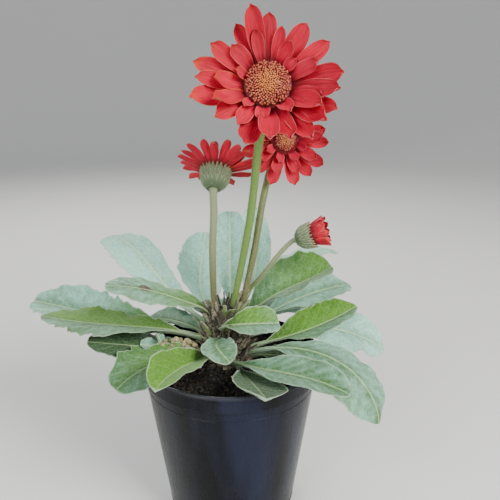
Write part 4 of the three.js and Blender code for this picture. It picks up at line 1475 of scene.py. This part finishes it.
def disc_florets(name, draw):
    """Florets set in spirals over the dome: closed in the middle, open and taller towards the edge."""
    bloom = BLOOMS[name]
    cast = floret_cast()
    count = bloom["florets"]
    k = np.arange(count) + 0.5
    ring = np.sqrt(k / count)
    r = ring * bloom["disc"] * 0.9
    turn = k * math.radians(GOLDEN_ANGLE) + draw.normal(0, 0.03, count)
    pitch = bloom["disc"] * math.sqrt(math.pi / count)
    wide = pitch * lerp(0.95, 1.1, ring) * draw.uniform(0.85, 1.1, count)
    tall = lerp(1.6, 2.6, ring**1.5) * draw.uniform(0.8, 1.15, count) * bloom["disc"] / TALL_DISC
    lean = 0.9 * ring**3
    out = outward(turn)
    axis = unit(out * lean[:, None] + [0, 0, 1] + draw.normal(0, 0.07, (count, 3)))
    foot = out * r[:, None] + upward(dome_height(bloom, r) - 0.4)
    first, second = around(axis)
    p = cast.points
    places = (
        foot[:, None]
        + (p[None, :, 0:1] * first[:, None] + p[None, :, 1:2] * second[:, None]) * wide[:, None, None]
        + p[None, :, 2:3] * axis[:, None] * tall[:, None, None]
    )
    marks = {
        "ring": cast.each(ring),
        "tip": np.repeat(p[None, :, 2], count, axis=0),
        "tone": cast.each(draw.uniform(0, 1, count)),
    }
    return cast.gather(f"disc_{name}_florets", placed(bloom, places), marks, 60)


def disc_dome(name):
    bloom = BLOOMS[name]
    r = np.linspace(0, bloom["disc"] * 0.93, 12)
    top = [(x, float(dome_height(bloom, x)) - 0.3) for x in r[::-1]]
    foot = PLATE_DEPTH + CLEARANCE
    return put_in_bloom(turned("dome", [(0, foot), (r[-1], foot), *top], 36), bloom)


def disc_styles(name, draw):
    """Pale styles that stand out between the outer florets."""
    bloom = BLOOMS[name]
    count = bloom["florets"] // 3
    turn = draw.uniform(0, math.tau, count)
    r = bloom["disc"] * draw.uniform(0.66, 0.96, count)
    out = outward(turn)
    foot = out * r[:, None] + upward(dome_height(bloom, r))
    ways = unit(out * draw.uniform(0.1, 0.8, (count, 1)) + [0, 0, 1] + draw.normal(0, 0.2, (count, 3)))
    ways = ways * (draw.uniform(2.4, 4.0, count) * bloom["disc"] / TALL_DISC)[:, None]
    return placed(bloom, foot), ways @ bloom_matrix(bloom)[:3, :3].T


def joined(whole, part):
    """Joins a part into a whole, which keeps its own name."""
    pick(whole, part)
    bpy.ops.object.join()
    return whole


def painted(obj, **marks):
    """Gives every point of an object the same marks."""
    for key, value in marks.items():
        mark(obj.data, key, np.full(len(obj.data.vertices), value))
    return obj


# ---- operators ----


class Maker:
    bl_options = {"REGISTER", "UNDO"}

    def execute(self, context):
        self.make(context.scene.gerbera)
        return {"FINISHED"}


class GERBERA_OT_stage(Maker, bpy.types.Operator):
    """Sets up the camera, the floor and the lights"""

    bl_idname = "gerbera.stage"
    bl_label = "Stage"

    def make(self, settings):
        stage = settings.stage
        bpy.ops.object.camera_add(location=CAMERA_PLACE, rotation=(math.radians(CAMERA_PITCH), 0, 0))
        camera = bpy.context.object
        camera.data.lens = CAMERA_LENS
        camera.data.sensor_width = 36
        camera.data.clip_start = 0.01
        bpy.context.scene.camera = camera
        edge, lift = stage.floor / MM, 1500
        bend = [(edge + lift * math.sin(a), -2 + lift * (1 - math.cos(a))) for a in np.linspace(0, 1.5, 14)]
        outer = [(r + 12, z - 12) for r, z in bend[::-1]]
        profile = [(0, 0), *[(r, max(z, 0)) for r, z in bend], *outer, (0, -14)]
        floor = turned("floor", profile, 96)
        soften(floor, 40)
        floor.data.materials.append(floor_finish(stage))
        lights = [
            ("key", (0.95, -0.80, 1.00), 0.8, stage.key, (1.0, 0.98, 0.95)),
            ("fill", (-0.80, -0.95, 0.85), 0.9, stage.fill, (0.93, 0.96, 1.0)),
            ("rim", (-0.35, 0.95, 0.95), 0.6, stage.rim, (1.0, 0.97, 0.90)),
        ]
        middle = Vector((0, 0, 0.2))
        for name, place, size, power, tint in lights:
            way = middle - Vector(place)
            rotation = way.to_track_quat("-Z", "Y").to_euler()
            bpy.ops.object.light_add(type="AREA", location=place, rotation=rotation)
            light = bpy.context.object
            light.name = f"light_{name}"
            light.data.energy = power
            light.data.size = size
            light.data.color = tint
        world = bpy.data.worlds.new("soft_sky")
        bpy.context.scene.world = world
        world.use_nodes = True
        sky = world.node_tree.nodes["Background"]
        sky.inputs["Color"].default_value = (0.93, 0.96, 1.0, 1.0)
        sky.inputs["Strength"].default_value = stage.sky


class GERBERA_OT_pot(Maker, bpy.types.Operator):
    """Moulds the nursery pot"""

    bl_idname = "gerbera.pot"
    bl_label = "Pot"

    def make(self, settings):
        keep(pot_shell(settings.pot), "pot_shell", "pot", plastic_finish(settings.pot), replaces=["pot"])


class GERBERA_OT_compost(Maker, bpy.types.Operator):
    """Fills the pot with compost and strews crumbs and fibres over it"""

    bl_idname = "gerbera.compost"
    bl_label = "Compost"

    def make(self, settings):
        compost, pot = settings.compost, settings.pot
        draw = np.random.default_rng([SEED, 101])
        bed = compost_bed(compost, pot)
        keep(bed, "compost_bed", "compost", compost_finish(compost), replaces=["soil"])
        crumbs = compost_crumbs(compost, draw)
        finish = crumb_finish("crumbs", compost.dark, compost.light)
        keep(crumbs, "compost_crumbs", "compost", finish)
        roots = strewn(compost, draw, compost.fibres)
        ways = unit(draw.normal(0, 1, (len(roots), 3)) * [1, 1, 0.22] + [0, 0, 0.12])
        ways = ways * draw.uniform(1.5, 7, (len(roots), 1))
        outside = np.hypot(*(roots + ways)[:, :2].T) > STREWN_REACH
        ways[outside] *= -1
        finish = hair_finish("dry_fibre", (0.20, 0.13, 0.07))
        hairs("compost_fibres", roots + [0, 0, 0.6], ways, 0.17, finish, "compost")


class GERBERA_OT_crown(Maker, bpy.types.Operator):
    """Builds the woolly crown, its old stalk stubs and the dried knobs beside it"""

    bl_idname = "gerbera.crown"
    bl_label = "Crown"

    def make(self, settings):
        crown = settings.crown
        draw = np.random.default_rng([SEED, 102])
        bark = crumb_finish("crown_bark", dimmed(crown.bark, 0.4), dimmed(crown.bark, 2))
        core = painted(crown_core(), tone=0.7)
        keep(core, "crown_core", "crown", bark, replaces=["crown"])
        dry = crumb_finish("dry_stubs", crown.bark, crown.wool)
        tender = stem_finish("shoot_skin", settings.stem.green, settings.stem.pale, settings.stem)
        for name, slot, finish, *sizes in (
            ("crown_scales", "crown", dry, 90, 109, 149, (1.3, 3.2), (4, 10), (0.5, 5)),
            ("crown_bracts", "crown", dry, 70, 120, 152, (0.6, 1.5), (5, 12), (0, 5)),
            ("crown_shoots", "leaf", tender, 26, 124, 150, (1.8, 3.4), (7, 13), (2, 8)),
        ):
            keep(crown_scales(name, draw, *sizes), name, slot, finish, finish)
        litter = crumb_finish("dry_litter", dimmed(crown.bark, 0.4), crown.wool)
        keep(crown_litter(crown, draw), "crown_litter", "crown", litter)
        roots, ways = crown_wool(crown, draw)
        hairs("crown_wool", roots, ways, 0.075, hair_finish("wool", crown.wool), "crown")
        self.husks(crown, draw)

    def husks(self, crown, draw):
        """Dried knobs heaped in the hollow of the low left leaf, beside the crown."""
        count = crown.husks
        x, y = draw.uniform(-1, 1, (2, count))
        heap = draw.uniform(0, 1, count) * np.sqrt(np.maximum(0, 1 - x * x))
        spots = np.stack([-37.5 + 14.5 * x, 6 * y - 1, 122.5 - 1.5 * x + 8 * heap], 1)
        size = draw.uniform(1.2, 2.3, count)
        cast = knobbly(2)
        places = tumbled(cast, draw, size, 0.8, 1.15) + spots[:, None]
        tone = cast.each(draw.uniform(0.3, 1, count))
        knobs = cast.gather("husks", places, {"tone": tone})
        finish = crumb_finish("husk", dimmed(crown.husk, 0.35), crown.husk)
        keep(knobs, "crown_husks", "crown", finish)


class GERBERA_OT_leaves(Maker, bpy.types.Operator):
    """Shapes every leaf and the fine hairs along the leaves' edges"""

    bl_idname = "gerbera.leaves"
    bl_label = "Leaves"

    def make(self, settings):
        finishes = leaf_finishes(settings.leaf)
        sheet = Sheet(100, 24)
        tufts = []
        for name in ALL_LEAVES:
            leaf = Leaf(name)
            lit, shaded = name in LIT_LEAVES, name in SHADED_LEAVES or name.startswith("back_low")
            slot = "leaf_lit" if lit else "leaf_shaded" if shaded else "leaf"
            blade = leaf_blade(leaf, sheet, settings.leaf)
            keep(blade, blade.name, slot, *finishes, replaces=[f"leaf_{name}"] if name in LEAVES else ())
            tufts.append(leaf.fuzz(settings.leaf))
        all_hairs("leaf_fuzz", tufts, 0.06, hair_finish("leaf_hair", settings.stem.hairs), "leaf")


class GERBERA_OT_stems(Maker, bpy.types.Operator):
    """Draws the four stems and their fine hairs"""

    bl_idname = "gerbera.stems"
    bl_label = "Stems"

    def make(self, settings):
        stem = settings.stem
        draw = np.random.default_rng([SEED, 103])
        dull = tuple(lerp(np.array(stem.green), np.array(stem.brown), 0.45))
        tones = {
            "tall": (stem.green, stem.green, "stem"),
            "second": (stem.brown, dull, "stem"),
            "half_open": (stem.brown, stem.pale, "stem_pale"),
            "bud": (dull, stem.pale, "stem_pale"),
        }
        tufts = []
        for name, (foot, head, slot) in tones.items():
            finish = stem_finish(f"stem_{name}_skin", foot, head, stem)
            keep(stem_stalk(name), f"stem_{name}_stalk", slot, finish, replaces=[f"stem_{name}"])
            tufts.append(stem_fuzz(name, stem, draw))
        all_hairs("stem_fuzz", tufts, 0.06, hair_finish("stem_hair", stem.hairs), "stem")


class GERBERA_OT_cups(Maker, bpy.types.Operator):
    """Lays the green scales of the cups under the blooms"""

    bl_idname = "gerbera.cups"
    bl_label = "Cups"

    def make(self, settings):
        draw = np.random.default_rng([SEED, 104])
        finish = scale_finish(settings.bloom)
        tufts = []
        for name in BLOOMS:
            cup = joined(cup_scales(name, draw), painted(cup_core(name), along=0.1, edge=1.0))
            keep(cup, f"cup_{name}_scales", "cup", finish, finish, replaces=[f"cup_{name}"])
            tufts.append(cup_fuzz(name, draw, CUP_HAIRS))
        all_hairs("cup_fuzz", tufts, 0.05, hair_finish("cup_hair", settings.stem.hairs), "cup")


class GERBERA_OT_petals(Maker, bpy.types.Operator):
    """Shapes the petals of every bloom"""

    bl_idname = "gerbera.petals"
    bl_label = "Petals"

    def make(self, settings):
        draw = np.random.default_rng([SEED, 105])
        finishes = petal_finishes(settings.bloom)
        for name in BLOOMS:
            rays = petal_rays(name, settings.bloom, draw)
            plate = painted(bloom_plate(name), along=0.05, edge=2.0, glow=0.0, rosy=0.0, pale=0.0)
            rays = joined(rays, plate)
            slot = "petal_back" if name in ("half_open", "bud") else "petal"
            keep(rays, f"petals_{name}_rays", slot, *finishes, replaces=[f"petals_{name}"])


class GERBERA_OT_discs(Maker, bpy.types.Operator):
    """Sets the florets of the open blooms"""

    bl_idname = "gerbera.discs"
    bl_label = "Discs"

    def make(self, settings):
        draw = np.random.default_rng([SEED, 106])
        finish = floret_finish(settings.bloom)
        styles = hair_finish("styles", (0.62, 0.27, 0.13))
        cream = hair_finish("cream_styles", (0.75, 0.55, 0.33))
        for name in ("tall", "second", "half_open"):
            florets = joined(disc_florets(name, draw), painted(disc_dome(name), ring=0.8, tip=0.1, tone=0))
            keep(florets, f"disc_{name}_florets", "floret", finish, replaces=[f"disc_{name}"])
            roots, ways = disc_styles(name, draw)
            if name == "second":
                hairs(f"disc_{name}_styles", roots, ways * 1.4, 0.3, cream, "floret")
            else:
                hairs(f"disc_{name}_styles", roots, ways, 0.2, styles, "floret")


# ---- panel and registration ----

STEPS = (
    GERBERA_OT_stage, GERBERA_OT_pot, GERBERA_OT_compost, GERBERA_OT_crown, GERBERA_OT_leaves,
    GERBERA_OT_stems, GERBERA_OT_cups, GERBERA_OT_petals, GERBERA_OT_discs,
)
GROUPS = (
    PotSettings, CompostSettings, CrownSettings, LeafSettings, StemSettings, BloomSettings, StageSettings,
    GerberaSettings,
)


class VIEW3D_PT_gerbera(bpy.types.Panel):
    """Sizes, colours and steps of the potted gerbera"""

    bl_idname = "VIEW3D_PT_gerbera"
    bl_label = "Potted gerbera"
    bl_space_type = "VIEW_3D"
    bl_region_type = "UI"
    bl_category = "Gerbera"

    def draw(self, context):
        settings = context.scene.gerbera
        for group in settings.bl_rna.properties.keys():
            if group in ("rna_type", "name"):
                continue
            box = self.layout.box()
            box.label(text=group.title())
            values = getattr(settings, group)
            for key in type(values).__annotations__:
                box.prop(values, key)
        for step in STEPS:
            self.layout.operator(step.bl_idname)


def register():
    for cls in (*GROUPS, *STEPS, VIEW3D_PT_gerbera):
        bpy.utils.register_class(cls)
    bpy.types.Scene.gerbera = PointerProperty(type=GerberaSettings)


def unregister():
    del bpy.types.Scene.gerbera
    for cls in reversed((*GROUPS, *STEPS, VIEW3D_PT_gerbera)):
        bpy.utils.unregister_class(cls)


def main():
    register()
    for step in STEPS:
        getattr(bpy.ops.gerbera, step.bl_idname.split(".")[1])()


if __name__ == "__main__":
    main()
